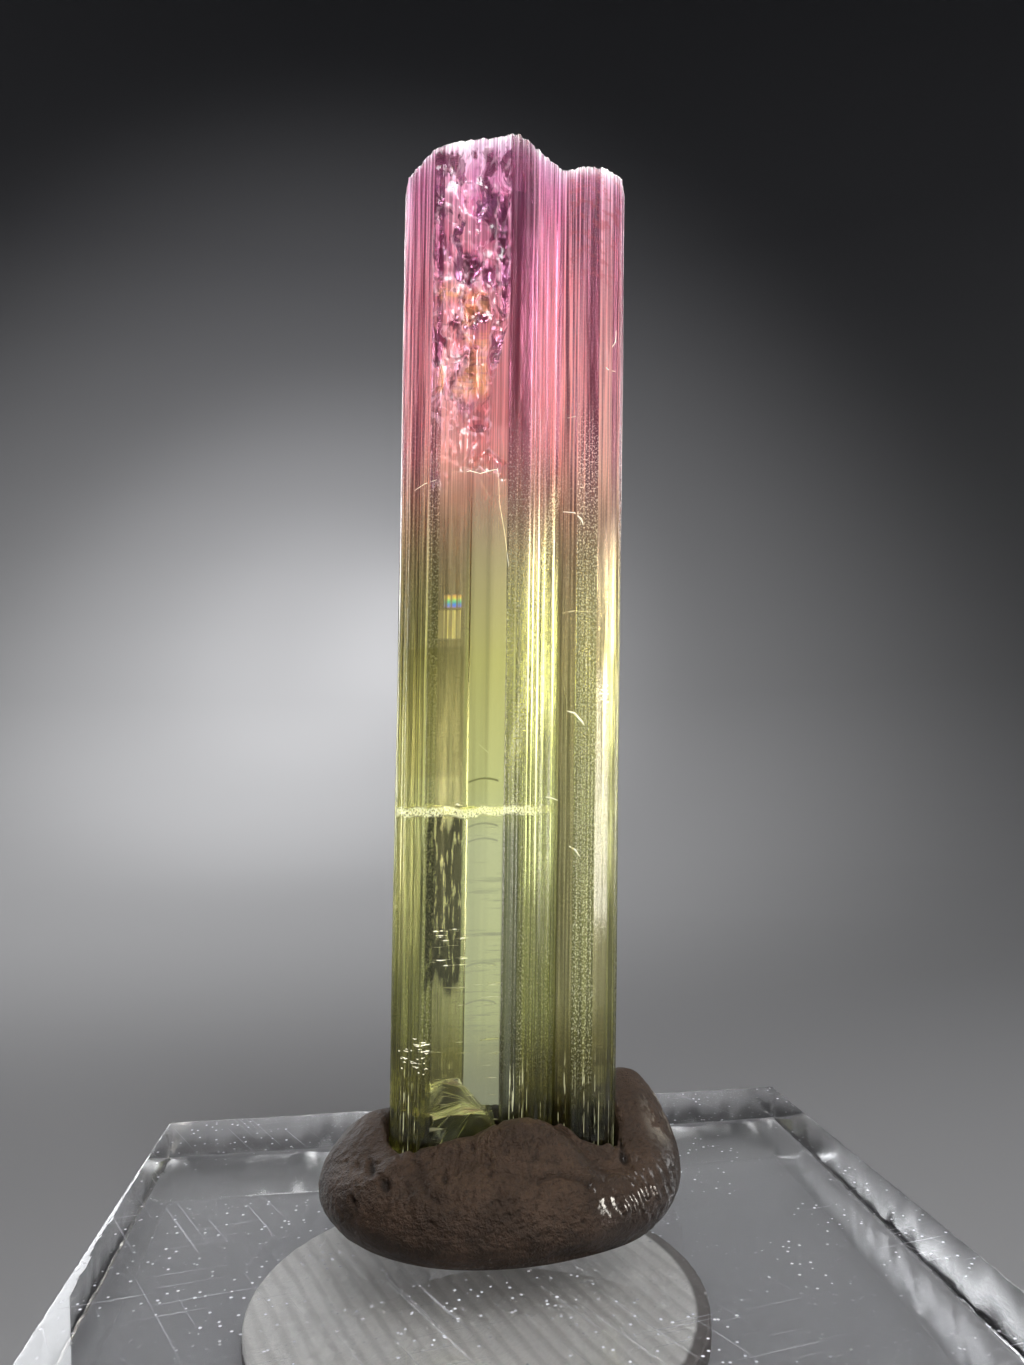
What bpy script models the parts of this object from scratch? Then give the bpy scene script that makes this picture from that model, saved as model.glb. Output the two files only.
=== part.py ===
"""A pink and green tourmaline: two prisms grown side by side as one crystal, stood in a pad of putty on a clear block.

The frame is metres, +Z up. The origin is the middle of the block's footprint, at the level it all stands on.
+Y runs away from the front of the crystal, which is the side with the etched hollow.
"""

import math

import bmesh
import bpy
from mathutils import Vector, noise

MM = 0.001
CONTACT_GAP = 0.3

# The stand, in millimetres
DISC_RADIUS = 10.4
DISC_THICK = 1.0
DISC_CENTRE = (-1.7, 1.75)
DISC_SIDES = 56
BLOCK_SIDE = 38.1
BLOCK_THICK = 7.6
BLOCK_CHAMFER = 0.25

BLOCK_BOTTOM = DISC_THICK + CONTACT_GAP
BLOCK_TOP = BLOCK_BOTTOM + BLOCK_THICK
PUTTY_BOTTOM = BLOCK_TOP + CONTACT_GAP

# The crystal: heights are above the block's top, and it leans a little to the right
CRYSTAL_FOOT = 1.4
CRYSTAL_TOP = 50.5
AXIS_X_AT_FOOT = -0.5
AXIS_Y = 2.9
LEAN = 0.036
MIDDLE = 26.8
TAPER = 0.0012
STRIA_DEPTH = 0.10

# The prism's section at half height, seen from above and measured from the crystal's axis: each corner, then how
# many strips the face that starts there is cut into, and whether those strips are growth ridges.
RIDGED, SMOOTH = True, False
SECTION = (
    (-5.35, -1.30, 6, RIDGED),  # left flank, towards the front
    (-4.90, -2.05, 4, RIDGED),
    (-4.10, -2.75, 9, SMOOTH),  # front face, with the hollow
    (-0.30, -3.00, 4, RIDGED),
    (0.60, -2.85, 8, RIDGED),
    (2.15, -2.00, 1, SMOOTH),  # groove between the two prisms, front
    (2.45, -2.30, 2, RIDGED),
    (3.10, -2.55, 4, RIDGED),
    (4.00, -2.45, 2, RIDGED),
    (4.65, -2.10, 2, RIDGED),
    (5.20, -1.50, 4, RIDGED),
    (5.55, -0.45, 6, RIDGED),
    (5.45, 0.80, 4, RIDGED),
    (4.75, 1.75, 6, RIDGED),
    (3.60, 2.40, 4, RIDGED),
    (2.70, 2.20, 1, SMOOTH),  # groove between the two prisms, back
    (2.45, 2.05, 6, RIDGED),
    (0.40, 3.45, 3, SMOOTH),  # back face, flat and parallel to the front
    (-1.65, 3.35, 8, RIDGED),
    (-3.90, 1.80, 6, RIDGED),
    (-5.45, 0.05, 6, RIDGED),
)
FRONT_FACE = 2
RING_HEIGHTS = (2.6, 3.6, 4.8, 6.4, 12.0, 18.6, MIDDLE)

# The hollow that growth left open on the front face, and the chip out of the foot below it
HOLLOW_FROM, HOLLOW_TO, HOLLOW_RINGS = 34.4, 50.2, 14
HOLLOW_DEPTH, HOLLOW_ROUGH = 0.45, 0.5
HOLLOW_PITS = (
    (0.30, 46.6, 0.75),  # share of the way across the face, height, depth
    (0.78, 44.6, 0.80),
    (0.16, 43.2, 0.70),
    (0.45, 41.2, 0.85),
    (0.82, 41.0, 0.55),
    (0.52, 37.2, 0.50),
)
PIT_WIDE, PIT_TALL = 0.26, 2.1
CHIP_HEIGHT, CHIP_TALL, CHIP_DEPTH = 3.9, 2.6, 0.7

# The broken top: how its front edge departs from CRYSTAL_TOP from left to right, and its rings inwards
TOP_EDGE = (
    (-5.4, -0.55),
    (-4.5, 0.15),
    (-3.4, 0.75),
    (-0.9, 1.10),
    (0.0, 1.15),
    (0.8, 0.70),
    (2.4, 0.00),
    (3.4, 0.05),
    (4.7, -0.15),
    (5.6, -0.50),
)
CAP_RINGS = (1.0, 0.88, 0.70, 0.50, 0.28)
CAP_ROUGH = 0.30

# The putty pad
PUTTY_CENTRE = (-0.25, 3.2)
PUTTY_RADII = (8.6, 6.6)
PUTTY_WIDEST_AT = 1.5
PUTTY_TOP = 4.4
PUTTY_AROUND, PUTTY_UP = 60, 22
PUTTY_LUMPS = (
    (0.1, -0.6, 1.4, 2.2),  # x, y, extra height, reach: pressed up against the crystal's front
    (1.9, -0.3, 0.7, 1.8),
    (4.2, 0.4, -1.2, 3.0),
    (7.0, 5.5, 3.0, 3.8),
    (-6.8, 4.0, 0.9, 3.6),
    (-2.5, 8.6, 0.6, 4.6),
)
POCKET_TOP = 12.0


def material(name, colour, roughness, see_through=0.0, ior=1.5):
    made = bpy.data.materials.new(name)
    made.use_nodes = True
    shader = made.node_tree.nodes["Principled BSDF"]
    shader.inputs["Base Color"].default_value = (*colour, 1.0)
    shader.inputs["Roughness"].default_value = roughness
    shader.inputs["Metallic"].default_value = 0.0
    shader.inputs["Transmission Weight"].default_value = see_through
    shader.inputs["IOR"].default_value = ior
    return made


def place(bm, name, finish):
    """Makes the bmesh, in millimetres, a named object in metres."""
    bmesh.ops.recalc_face_normals(bm, faces=bm.faces)
    bmesh.ops.scale(bm, vec=(MM, MM, MM), verts=bm.verts)
    mesh = bpy.data.meshes.new(name)
    bm.to_mesh(mesh)
    bm.free()
    mesh.materials.append(finish)
    made = bpy.data.objects.new(name, mesh)
    bpy.context.scene.collection.objects.link(made)
    return made


def bell(distance):
    """1 at the middle, falling smoothly to 0 at a distance of 1."""
    return (1 - distance * distance) ** 2 if abs(distance) < 1 else 0.0


def edge_height(x):
    """The broken top's departure from CRYSTAL_TOP at x, in straight runs between the given places."""
    if x <= TOP_EDGE[0][0]:
        return TOP_EDGE[0][1]
    for (x0, h0), (x1, h1) in zip(TOP_EDGE, TOP_EDGE[1:]):
        if x <= x1:
            return h0 + (h1 - h0) * (x - x0) / (x1 - x0)
    return TOP_EDGE[-1][1]


def at_height(x, y, height):
    """A point of the half-height section carried up or down the leaning, slightly tapering prism."""
    spread = 1 + TAPER * (height - MIDDLE)
    return Vector((AXIS_X_AT_FOOT + LEAN * height + x * spread, AXIS_Y + y * spread, BLOCK_TOP + height))


def prism_outline():
    """Points round the prism as (x, y, face, share of the way across the face), every other one sunk on a ridged face."""
    points = []
    for face, (x0, y0, strips, ridged) in enumerate(SECTION):
        x1, y1, _, _ = SECTION[(face + 1) % len(SECTION)]
        inward = Vector((y0 - y1, x1 - x0)).normalized() * STRIA_DEPTH
        for strip in range(strips):
            share = strip / strips
            sunk = inward if ridged and strip % 2 else Vector((0, 0))
            points.append((x0 + (x1 - x0) * share + sunk.x, y0 + (y1 - y0) * share + sunk.y, face, share))
    return points


def eaten_in(face, share, height):
    """How deep the hollow or the chip is at a place on the front face, in millimetres."""
    if face != FRONT_FACE:
        return 0.0
    across = bell(2 * share - 1) ** 0.4
    if not HOLLOW_FROM < height < HOLLOW_TO:
        return CHIP_DEPTH * across * bell((height - CHIP_HEIGHT) / CHIP_TALL)
    depth = across * (HOLLOW_DEPTH + HOLLOW_ROUGH * noise.noise(Vector((share * 4.0, height * 0.55, 1.7))))
    for pit_share, pit_height, pit_depth in HOLLOW_PITS:
        apart = math.hypot((share - pit_share) / PIT_WIDE, (height - pit_height) / PIT_TALL)
        depth = max(depth, pit_depth * bell(apart))
    return max(depth, 0.0)


def top_at(x, y):
    """Height of the rough termination over the half-height section's point (x, y): the front edge stands highest."""
    forward = bell((y + 3.0) / 6.5)
    rough = noise.noise(Vector((x * 0.9, y * 0.9, 4.2)))
    return CRYSTAL_TOP + edge_height(x) * (0.55 + 0.45 * forward) + CAP_ROUGH * rough


def tourmaline_crystal():
    """Both prisms as one solid: the section is extruded up ring by ring, then inwards over the broken top."""
    outline = prism_outline()
    bm = bmesh.new()
    number = bm.verts.layers.int.new("outline_point")
    foot = []
    for k, (x, y, _, _) in enumerate(outline):
        vert = bm.verts.new(at_height(x, y, CRYSTAL_FOOT))
        vert[number] = k
        foot.append(vert)
    underside = top = bm.faces.new(foot)

    hollow_step = (HOLLOW_TO - HOLLOW_FROM) / HOLLOW_RINGS
    hollow = [HOLLOW_FROM + hollow_step * (k + 0.3) for k in range(HOLLOW_RINGS)]
    rings = [(height, None) for height in (*RING_HEIGHTS, HOLLOW_FROM, *hollow)]
    rings += [(None, shrink) for shrink in CAP_RINGS]
    for height, shrink in rings:
        below = top
        made = bmesh.ops.extrude_face_region(bm, geom=[below])["geom"]
        (top,) = (g for g in made if isinstance(g, bmesh.types.BMFace))
        if below is not underside:
            bm.faces.remove(below)
        for vert in top.verts:
            x, y, face, share = outline[vert[number]]
            if shrink is None:
                vert.co = at_height(x, y + eaten_in(face, share, height), height)
            else:
                x, y = x * shrink, y * shrink
                vert.co = at_height(x, y, top_at(x, y))
    bmesh.ops.poke(bm, faces=[top])
    bmesh.ops.triangulate(bm, faces=bm.faces)
    return place(bm, "tourmaline_crystal", material("tourmaline", (0.78, 0.62, 0.50), 0.08, 0.9, 1.63))


def putty_top(x, y):
    """Height of the putty's skin over the block's top, with the lumps that fingers pressed up."""
    height = PUTTY_TOP + 0.35 * noise.noise(Vector((x * 0.45, y * 0.45, 8.0)))
    for lump_x, lump_y, extra, reach in PUTTY_LUMPS:
        height += extra * bell(math.hypot(x - lump_x, y - lump_y) / reach)
    return height


def mounting_putty():
    """A pressed pad: a sphere drawn out to the pad's plan and heights, flat underneath, with the crystal's pocket."""
    bm = bmesh.new()
    bmesh.ops.create_uvsphere(bm, u_segments=PUTTY_AROUND, v_segments=PUTTY_UP, radius=1.0)
    for vert in bm.verts:
        angle = math.atan2(vert.co.y, vert.co.x)
        outward = Vector((math.cos(angle), math.sin(angle)))
        out = math.hypot(vert.co.x, vert.co.y) ** 0.72
        swell = 1 + 0.06 * noise.noise(Vector((*(outward * 1.3), 2.0)))
        x = PUTTY_CENTRE[0] + PUTTY_RADII[0] * out * swell * outward.x
        y = PUTTY_CENTRE[1] + PUTTY_RADII[1] * out * swell * outward.y
        if vert.co.z >= 0:
            height = PUTTY_WIDEST_AT + (putty_top(x, y) - PUTTY_WIDEST_AT) * vert.co.z**0.8
        else:
            height = PUTTY_WIDEST_AT * (1 - 1.35 * abs(vert.co.z) ** 1.1)
        vert.co = (x, y, max(BLOCK_TOP + height, PUTTY_BOTTOM))
    pad = place(bm, "mounting_putty", material("putty", (0.30, 0.25, 0.23), 0.5))
    pocket = pad.modifiers.new("pocket", "BOOLEAN")
    pocket.operation = "DIFFERENCE"
    pocket.solver = "EXACT"
    pocket.object = pocket_cutter()
    return pad


def pocket_cutter():
    """The prism's plain section, larger all round by the contact gap, from under the crystal's foot to over the putty."""
    bm = bmesh.new()
    foot = []
    for x, y, _, _ in SECTION:
        out = Vector((x, y)).normalized() * CONTACT_GAP
        foot.append(bm.verts.new(at_height(x + out.x, y + out.y, CRYSTAL_FOOT - CONTACT_GAP)))
    made = bmesh.ops.extrude_face_region(bm, geom=[bm.faces.new(foot)])["geom"]
    rise = POCKET_TOP - CRYSTAL_FOOT
    top = [g for g in made if isinstance(g, bmesh.types.BMVert)]
    bmesh.ops.translate(bm, vec=(LEAN * rise, 0, rise), verts=top)
    cutter = place(bm, "pocket_cutter", material("cutter", (0.5, 0.5, 0.5), 0.5))
    cutter.hide_render = True
    cutter.display_type = "WIRE"
    return cutter


def clear_block():
    """The square slab that carries everything, with its edges just broken."""
    bm = bmesh.new()
    bmesh.ops.create_cube(bm, size=1.0)
    bmesh.ops.scale(bm, vec=(BLOCK_SIDE, BLOCK_SIDE, BLOCK_THICK), verts=bm.verts)
    bmesh.ops.translate(bm, vec=(0, 0, BLOCK_BOTTOM + BLOCK_THICK / 2), verts=bm.verts)
    bmesh.ops.bevel(
        bm, geom=bm.edges[:], offset=BLOCK_CHAMFER, segments=1, profile=0.5, affect="EDGES", clamp_overlap=True
    )
    return place(bm, "clear_block", material("clear_acrylic", (0.95, 0.96, 0.97), 0.05, 1.0, 1.49))


def white_disc():
    """The round pad under the block."""
    bm = bmesh.new()
    bmesh.ops.create_cone(
        bm, cap_ends=True, segments=DISC_SIDES, radius1=DISC_RADIUS, radius2=DISC_RADIUS, depth=DISC_THICK
    )
    bmesh.ops.translate(bm, vec=(*DISC_CENTRE, DISC_THICK / 2), verts=bm.verts)
    return place(bm, "white_disc", material("white_pad", (0.85, 0.84, 0.81), 0.8))


def main():
    for old in list(bpy.data.objects):
        bpy.data.objects.remove(old)
    tourmaline_crystal()
    mounting_putty()
    clear_block()
    white_disc()


main()
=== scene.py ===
"""A pink and green tourmaline stood in putty on a clear block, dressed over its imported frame.

Settings are in metres, as Blender shows them. The functions work in millimetres: across and back from the
middle of the block's footprint, and up from the block's top, unless a name says otherwise.
"""

import math
import random

import bmesh
import bpy
from bpy.props import FloatProperty, FloatVectorProperty, IntProperty, PointerProperty
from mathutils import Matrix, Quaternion, Vector, noise


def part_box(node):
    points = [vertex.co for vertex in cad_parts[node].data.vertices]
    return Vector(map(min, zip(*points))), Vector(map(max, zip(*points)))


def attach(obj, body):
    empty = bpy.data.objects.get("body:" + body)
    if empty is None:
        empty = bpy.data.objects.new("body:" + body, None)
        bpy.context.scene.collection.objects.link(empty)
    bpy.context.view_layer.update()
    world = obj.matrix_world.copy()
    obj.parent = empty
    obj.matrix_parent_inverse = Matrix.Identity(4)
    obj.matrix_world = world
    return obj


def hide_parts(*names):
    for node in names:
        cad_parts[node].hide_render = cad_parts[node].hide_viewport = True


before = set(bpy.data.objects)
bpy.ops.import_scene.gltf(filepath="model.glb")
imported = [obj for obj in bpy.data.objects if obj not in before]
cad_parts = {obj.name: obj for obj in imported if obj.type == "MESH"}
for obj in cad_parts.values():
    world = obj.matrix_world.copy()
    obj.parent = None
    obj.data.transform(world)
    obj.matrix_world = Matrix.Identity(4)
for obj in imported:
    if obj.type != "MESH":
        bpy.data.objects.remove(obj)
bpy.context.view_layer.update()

bl_info = {
    "name": "Tourmaline on a Display Block",
    "version": (1, 0, 0),
    "blender": (4, 5, 0),
    "location": "3D View > Sidebar > Tourmaline",
    "description": "Models and finishes a two-coloured tourmaline, its putty, its clear block and its pad",
    "category": "Add Mesh",
}

MM = 0.001
BLOCK_LOW, BLOCK_HIGH = (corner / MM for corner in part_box("clear_block"))
PAD_LOW, PAD_HIGH = (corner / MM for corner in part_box("white_disc"))
BLOCK_SIZE, BLOCK_MIDDLE = BLOCK_HIGH - BLOCK_LOW, (BLOCK_HIGH + BLOCK_LOW) / 2
PAD_MIDDLE, PAD_THICK = (PAD_HIGH + PAD_LOW) / 2, PAD_HIGH.z - PAD_LOW.z
PAD_RADIUS = (PAD_HIGH.x - PAD_LOW.x) / 2
BLOCK_TOP = BLOCK_HIGH.z

# The crystal's axis, as the frame has it
CRYSTAL_FOOT = 1.4
CRYSTAL_TOP = 50.5
CRYSTAL_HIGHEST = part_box("tourmaline_crystal")[1].z / MM - BLOCK_TOP - 0.01
AXIS_X_AT_FOOT = -0.5
AXIS_Y = 2.9
LEAN = 0.036
MIDDLE = 26.8
TAPER = 0.0012
CRACK_HEIGHT = 18.85

# The faces round the prism: each corner, the width and depth of the growth ridges on the face that starts
# there (no depth is a flat face), then its finish: grain, clear, warm, dark and milky, from 0 to 1
FACES = (
    (-5.35, -1.30, 0.20, 0.090, 0.1, 0.0, 0.1, 0.2, 0.5),
    (-4.90, -2.05, 0.24, 0.100, 0.1, 0.0, 0.1, 0.4, 0.4),
    (-4.10, -2.75, 0.13, 0.030, 0.5, 0.0, 0.0, 0.9, 0.1),
    (-3.62, -2.78, 0.10, 0.000, 0.0, 0.6, 0.5, 0.3, 0.1),
    (-2.35, -2.86, 0.08, 0.000, 0.0, 1.0, 0.0, 0.0, 0.0),
    (-0.45, -3.00, 0.14, 0.050, 0.7, 0.0, 0.0, 0.9, 0.0),
    (0.60, -2.85, 0.20, 0.080, 0.3, 0.0, 0.0, 0.1, 0.8),
    (2.15, -2.00, 0.30, 0.000, 0.0, 0.0, 0.3, 0.0, 1.0),
    (2.25, -2.15, 0.16, 0.030, 0.1, 0.0, 0.8, 0.1, 0.4),
    (2.95, -2.50, 0.14, 0.040, 1.0, 0.0, 0.2, 0.7, 0.1),
    (3.95, -2.47, 0.25, 0.020, 0.1, 0.3, 1.0, 0.1, 0.4),
    (4.65, -2.10, 0.20, 0.090, 0.1, 0.0, 0.4, 0.2, 0.8),
    (5.20, -1.50, 0.14, 0.060, 0.9, 0.0, 0.3, 0.8, 0.1),
    (5.55, -0.45, 0.22, 0.100, 0.1, 0.0, 0.3, 0.3, 0.3),
    (5.45, 0.80, 0.19, 0.090, 0.1, 0.0, 0.3, 0.2, 0.3),
    (4.75, 1.75, 0.20, 0.090, 0.3, 0.0, 0.3, 0.3, 0.3),
    (3.60, 2.40, 0.18, 0.080, 0.1, 0.0, 0.3, 0.2, 0.3),
    (2.70, 2.20, 0.30, 0.000, 0.0, 0.0, 0.3, 0.0, 0.5),
    (2.45, 2.05, 0.18, 0.080, 0.1, 0.0, 0.0, 0.2, 0.3),
    (0.40, 3.45, 0.20, 0.000, 0.0, 1.0, 0.0, 0.0, 0.0),
    (-1.65, 3.35, 0.22, 0.090, 0.1, 0.0, 0.0, 0.2, 0.3),
    (-3.90, 1.80, 0.19, 0.090, 0.1, 0.0, 0.1, 0.2, 0.3),
    (-5.45, 0.05, 0.18, 0.085, 0.1, 0.0, 0.1, 0.2, 0.3),
)
FRONT_CORNERS = 14
FACE_LOOKS = ("grain", "clear", "warm", "dark", "milky")

# How far the broken top rises along the front, as (x, height over CRYSTAL_TOP)
TOP_EDGE = (
    (-5.4, -0.30),
    (-4.5, 0.20),
    (-3.4, 0.75),
    (-0.9, 1.10),
    (0.0, 1.15),
    (0.8, 0.70),
    (2.4, 0.00),
    (3.4, 0.05),
    (4.7, 0.05),
    (5.6, 0.05),
)

# The etched hollow in the front face: its reach, and its deepest pits
FRONT_FACES = (2, 4)
FRONT_FROM, FRONT_TO = -4.10, -0.45
HOLLOW_FROM, HOLLOW_TO = 34.2, 50.2
HOLLOW_RIGHT = ((35.2, 0.97), (35.9, 0.75), (38.5, 0.73), (41.6, 0.93), (44.0, 1.0))
PITS = (
    # share across, height, depth, half width as a share, half height
    (0.10, 45.9, 0.45, 0.12, 1.3),
    (0.55, 48.3, 0.35, 0.09, 0.7),
    (0.90, 47.0, 0.55, 0.07, 1.9),
    (0.42, 45.2, 0.55, 0.20, 0.9),
    (0.94, 44.0, 0.50, 0.05, 1.4),
    (0.48, 43.3, 0.40, 0.09, 1.1),
    (0.70, 44.6, 0.35, 0.08, 0.8),
    (0.30, 41.0, 0.25, 0.12, 0.6),
    (0.60, 37.1, 0.40, 0.14, 0.25),
    (0.60, 36.0, 0.20, 0.06, 0.8),
)
NICKS = (
    # half thickness, then points as (x, height) on the front
    (0.020, ((2.42, 37.74), (2.80, 37.77), (3.14, 37.75))),
    (0.020, ((2.46, 34.18), (2.90, 34.20), (3.28, 34.24))),
    (0.022, ((2.35, 28.14), (2.86, 28.21), (3.97, 28.13))),
    (0.045, ((2.32, 33.10), (2.83, 32.99), (3.16, 32.65), (3.25, 32.42))),
    (0.050, ((2.60, 23.44), (2.93, 23.33), (3.32, 22.89), (3.41, 22.73))),
    (0.045, ((2.77, 17.11), (3.03, 16.95), (3.27, 16.62))),
    (0.018, ((1.60, 19.42), (1.98, 19.35), (2.24, 19.24))),
    (0.045, ((4.14, 40.44), (4.43, 40.25), (4.87, 40.31))),
    (0.030, ((4.43, 40.30), (4.52, 41.26), (4.86, 41.83), (4.90, 42.45))),
    (0.022, ((-0.95, 34.97), (-0.88, 34.20), (-0.83, 33.26), (-0.57, 31.81), (-0.36, 30.22))),
    (0.018, ((-1.84, 34.47), (-1.50, 33.90), (-1.26, 33.50))),
    (0.030, ((-2.60, 34.75), (-2.23, 34.85), (-1.75, 34.71), (-1.28, 34.86), (-0.95, 34.92))),
    (0.022, ((-4.79, 34.09), (-4.33, 34.29), (-3.77, 34.44))),
    (0.012, ((-1.61, 21.90), (-1.18, 21.53))),
)
FLASHES = (
    # x from and to, height from and to, count, longest
    (-3.70, -2.50, 12.8, 13.6, 12, 0.60),
    (-3.75, -2.40, 11.9, 12.3, 8, 0.90),
    (-4.60, -3.90, 8.2, 8.9, 10, 0.45),
    (-5.10, -3.80, 7.2, 8.4, 26, 0.20),
    (-3.50, -2.60, 18.9, 19.2, 4, 0.50),
    (4.10, 4.60, 23.8, 24.7, 16, 0.25),
)

# Heights of the thin dark arcs in the clear window
WINDOW_ARCS = (20.35, 18.30, 17.62, 12.05, 10.40)

# The rings that close the top and the foot, as shares of the outline
CAP_RINGS = (1.0, 0.985, 0.95, 0.89, 0.80, 0.68, 0.54, 0.38, 0.20)

# Patches of the front: from, to and soft edge round the prism from its first corner, then the same up it
DARK_BLOCK = ((0.9, 3.5, 0.3), (20.5, 26.4, 0.12))
STRAW_BLOCK = ((2.46, 3.46, 0.08), (26.90, 28.15, 0.12))
RAINBOW = ((2.85, 3.40, 0.30), (28.38, 28.85, 0.14))
AMBER_GLASS = ((2.4, 4.4, 0.4), (39.0, 43.6, 0.8))
FLECKS_ACROSS = (2.1, 3.66, 0.15)
FLECKS_UP = (11.4, 18.4, 0.7)
WINDOW_MIDDLE = 4.7
ARCS_ACROSS = (4.0, 5.3, 0.1)
PURPLE_ACROSS = (5.60, 6.55, 0.12)
DARK_COLUMN_ACROSS = (5.62, 6.30, 0.12)

# Colours up the crystal, as (share of the height they are spread over, colour)
COLOUR_HEIGHT = 52
MAIN_COLOURS = (
    (0.00, (0.012, 0.008, 0.0)),
    (0.10, (0.03, 0.02, 0.001)),
    (0.14, (0.20, 0.18, 0.02)),
    (0.18, (0.66, 0.70, 0.22)),
    (0.36, (0.78, 0.82, 0.34)),
    (0.50, (0.78, 0.76, 0.26)),
    (0.60, (0.76, 0.66, 0.34)),
    (0.66, (0.78, 0.58, 0.42)),
    (0.70, (0.92, 0.46, 0.46)),
    (0.85, (0.93, 0.36, 0.50)),
    (0.95, (0.98, 0.40, 0.68)),
    (1.00, (1.00, 0.55, 0.90)),
)
SIDE_COLOURS = (
    (0.00, (0.02, 0.012, 0.001)),
    (0.11, (0.06, 0.035, 0.005)),
    (0.16, (0.40, 0.32, 0.12)),
    (0.20, (0.88, 0.76, 0.46)),
    (0.45, (0.88, 0.72, 0.40)),
    (0.65, (0.94, 0.64, 0.48)),
    (0.85, (0.97, 0.55, 0.53)),
    (1.00, (1.00, 0.58, 0.70)),
)
# Colours of the milky veil and of its painted glow, up the crystal
GLOW_COLOURS = (
    (0.00, (0.16, 0.13, 0.01)),
    (0.12, (0.34, 0.30, 0.02)),
    (0.17, (0.58, 0.60, 0.14)),
    (0.36, (0.72, 0.74, 0.24)),
    (0.50, (0.74, 0.68, 0.22)),
    (0.60, (0.78, 0.60, 0.28)),
    (0.66, (0.85, 0.50, 0.36)),
    (0.70, (0.93, 0.44, 0.42)),
    (0.85, (0.95, 0.42, 0.50)),
    (0.95, (0.97, 0.46, 0.68)),
    (1.00, (1.00, 0.60, 0.92)),
)

# Colours of the painted rainbow flash, up its height
RAINBOW_COLOURS = (
    (0.10, (0.45, 0.25, 0.90)),
    (0.32, (0.15, 0.45, 0.95)),
    (0.50, (0.20, 0.85, 0.45)),
    (0.68, (0.95, 0.90, 0.20)),
    (0.90, (1.00, 0.50, 0.15)),
)

# The putty: its plan, its lumps, and where it meets the crystal's front
PUTTY_X, PUTTY_Y = -0.25, 3.2
PUTTY_HALF_WIDTH, PUTTY_HALF_DEPTH = 8.6, 6.6
PUTTY_WIDEST_AT = 1.5
PUTTY_ROUNDNESS = 2.78
PUTTY_UNDERCUT = 0.115
PUTTY_SUNK = -0.02
PUTTY_TOP = 4.4
POCKET_FLOOR = 1.0
PUTTY_LUMPS = (
    # x, y, extra height, reach
    (0.1, -0.6, 1.4, 2.2),
    (1.9, -0.3, 0.7, 1.8),
    (4.2, 0.4, -1.2, 3.0),
    (7.0, 5.5, 3.0, 3.8),
    (-6.8, 4.0, 0.9, 3.6),
    (-2.5, 8.6, 0.6, 4.6),
)
PUTTY_LIP = (
    # x, height where the putty meets the crystal's front
    (-5.6, 3.95),
    (-5.0, 3.80),
    (-4.6, 4.08),
    (-3.9, 4.20),
    (-2.8, 4.45),
    (-1.8, 4.65),
    (-1.2, 5.00),
    (-0.5, 5.20),
    (0.2, 5.25),
    (0.75, 5.05),
    (1.05, 4.60),
    (1.2, 4.30),
    (1.5, 4.50),
    (2.0, 4.70),
    (2.7, 4.10),
    (3.8, 3.65),
    (5.6, 3.60),
)
PUTTY_FOLDS = (
    # half width, depth, then points as (x, height) on the front
    (0.09, 0.13, ((0.60, 3.30), (1.00, 3.40), (1.60, 3.42), (2.10, 3.34), (2.60, 3.18), (3.00, 3.05))),
    (0.14, 0.09, ((3.00, 3.05), (3.70, 3.05), (4.40, 3.40), (4.90, 3.75), (5.30, 3.95))),
    (0.08, 0.09, ((1.00, 4.60), (0.70, 4.30), (0.45, 3.80), (0.30, 3.40), (0.42, 3.00))),
    (0.07, 0.07, ((0.30, 4.90), (0.16, 4.40), (0.24, 3.80), (0.34, 3.30))),
    (0.06, 0.06, ((0.62, 4.75), (0.44, 4.20), (0.40, 3.60))),
    (0.08, 0.08, ((0.42, 3.00), (0.16, 2.68), (-0.20, 2.42), (-0.95, 2.32))),
    (0.06, 0.05, ((0.60, 3.05), (0.36, 2.60), (0.00, 2.20), (-0.60, 2.00))),
    (0.05, 0.10, ((-0.36, 4.80), (-0.20, 4.50), (-0.12, 4.12))),
    (0.08, 0.14, ((-6.83, 4.85), (-6.94, 4.50), (-6.86, 4.15))),
    (0.16, 0.12, ((-4.50, 4.20), (-4.55, 3.85), (-4.30, 3.45), (-4.10, 3.10), (-3.60, 2.85))),
    (0.14, 0.06, ((-3.60, 2.85), (-2.90, 2.85), (-1.85, 2.80), (-0.75, 2.70))),
    (0.30, 0.10, ((1.30, 0.50), (2.00, 0.30), (2.60, 0.10))),
)
PUTTY_PITS = (
    # x, height, radius
    (-6.45, 3.40, 0.20),
    (-5.85, 3.10, 0.26),
    (-7.30, 2.30, 0.16),
    (-3.30, 3.50, 0.18),
    (-1.40, 3.95, 0.14),
    (-1.40, 3.65, 0.12),
    (-2.05, 4.35, 0.15),
    (-0.65, 4.35, 0.12),
    (-1.10, 3.15, 0.14),
    (4.95, 3.20, 0.24),
    (0.60, 2.95, 0.15),
    (2.85, 3.00, 0.16),
)
RIDGES_AT = (5.2, 2.1)
RIDGES_REACH = 2.3

# The way across the pad's ridges
PAD_RIDGE_WAY = (0.936, 0.350)

# How far out the pad's ridged face reaches, as a share of its radius, then the rings over its cut edge and
# back under it, as (share of the radius, height in the pad)
PAD_FACE_REACH = 0.992
PAD_CUT_EDGE = (
    (0.999, PAD_THICK * 0.93),
    (1.0, PAD_THICK * 0.7),
    (1.0, PAD_THICK * 0.3),
    (0.998, 0.05),
    (0.99, 0.0),
    (0.5, 0.0),
)

# The camera, with its height above the block's top and its angles in degrees
CAMERA_FOCUS_PX = 1008.1
PHOTO_LONG_SIDE_PX = 1365
CAMERA_PLACE = (-5.246, -46.426, 20.388)
CAMERA_YAW, CAMERA_PITCH, CAMERA_ROLL = 6.774, 5.35, -1.274

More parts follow.
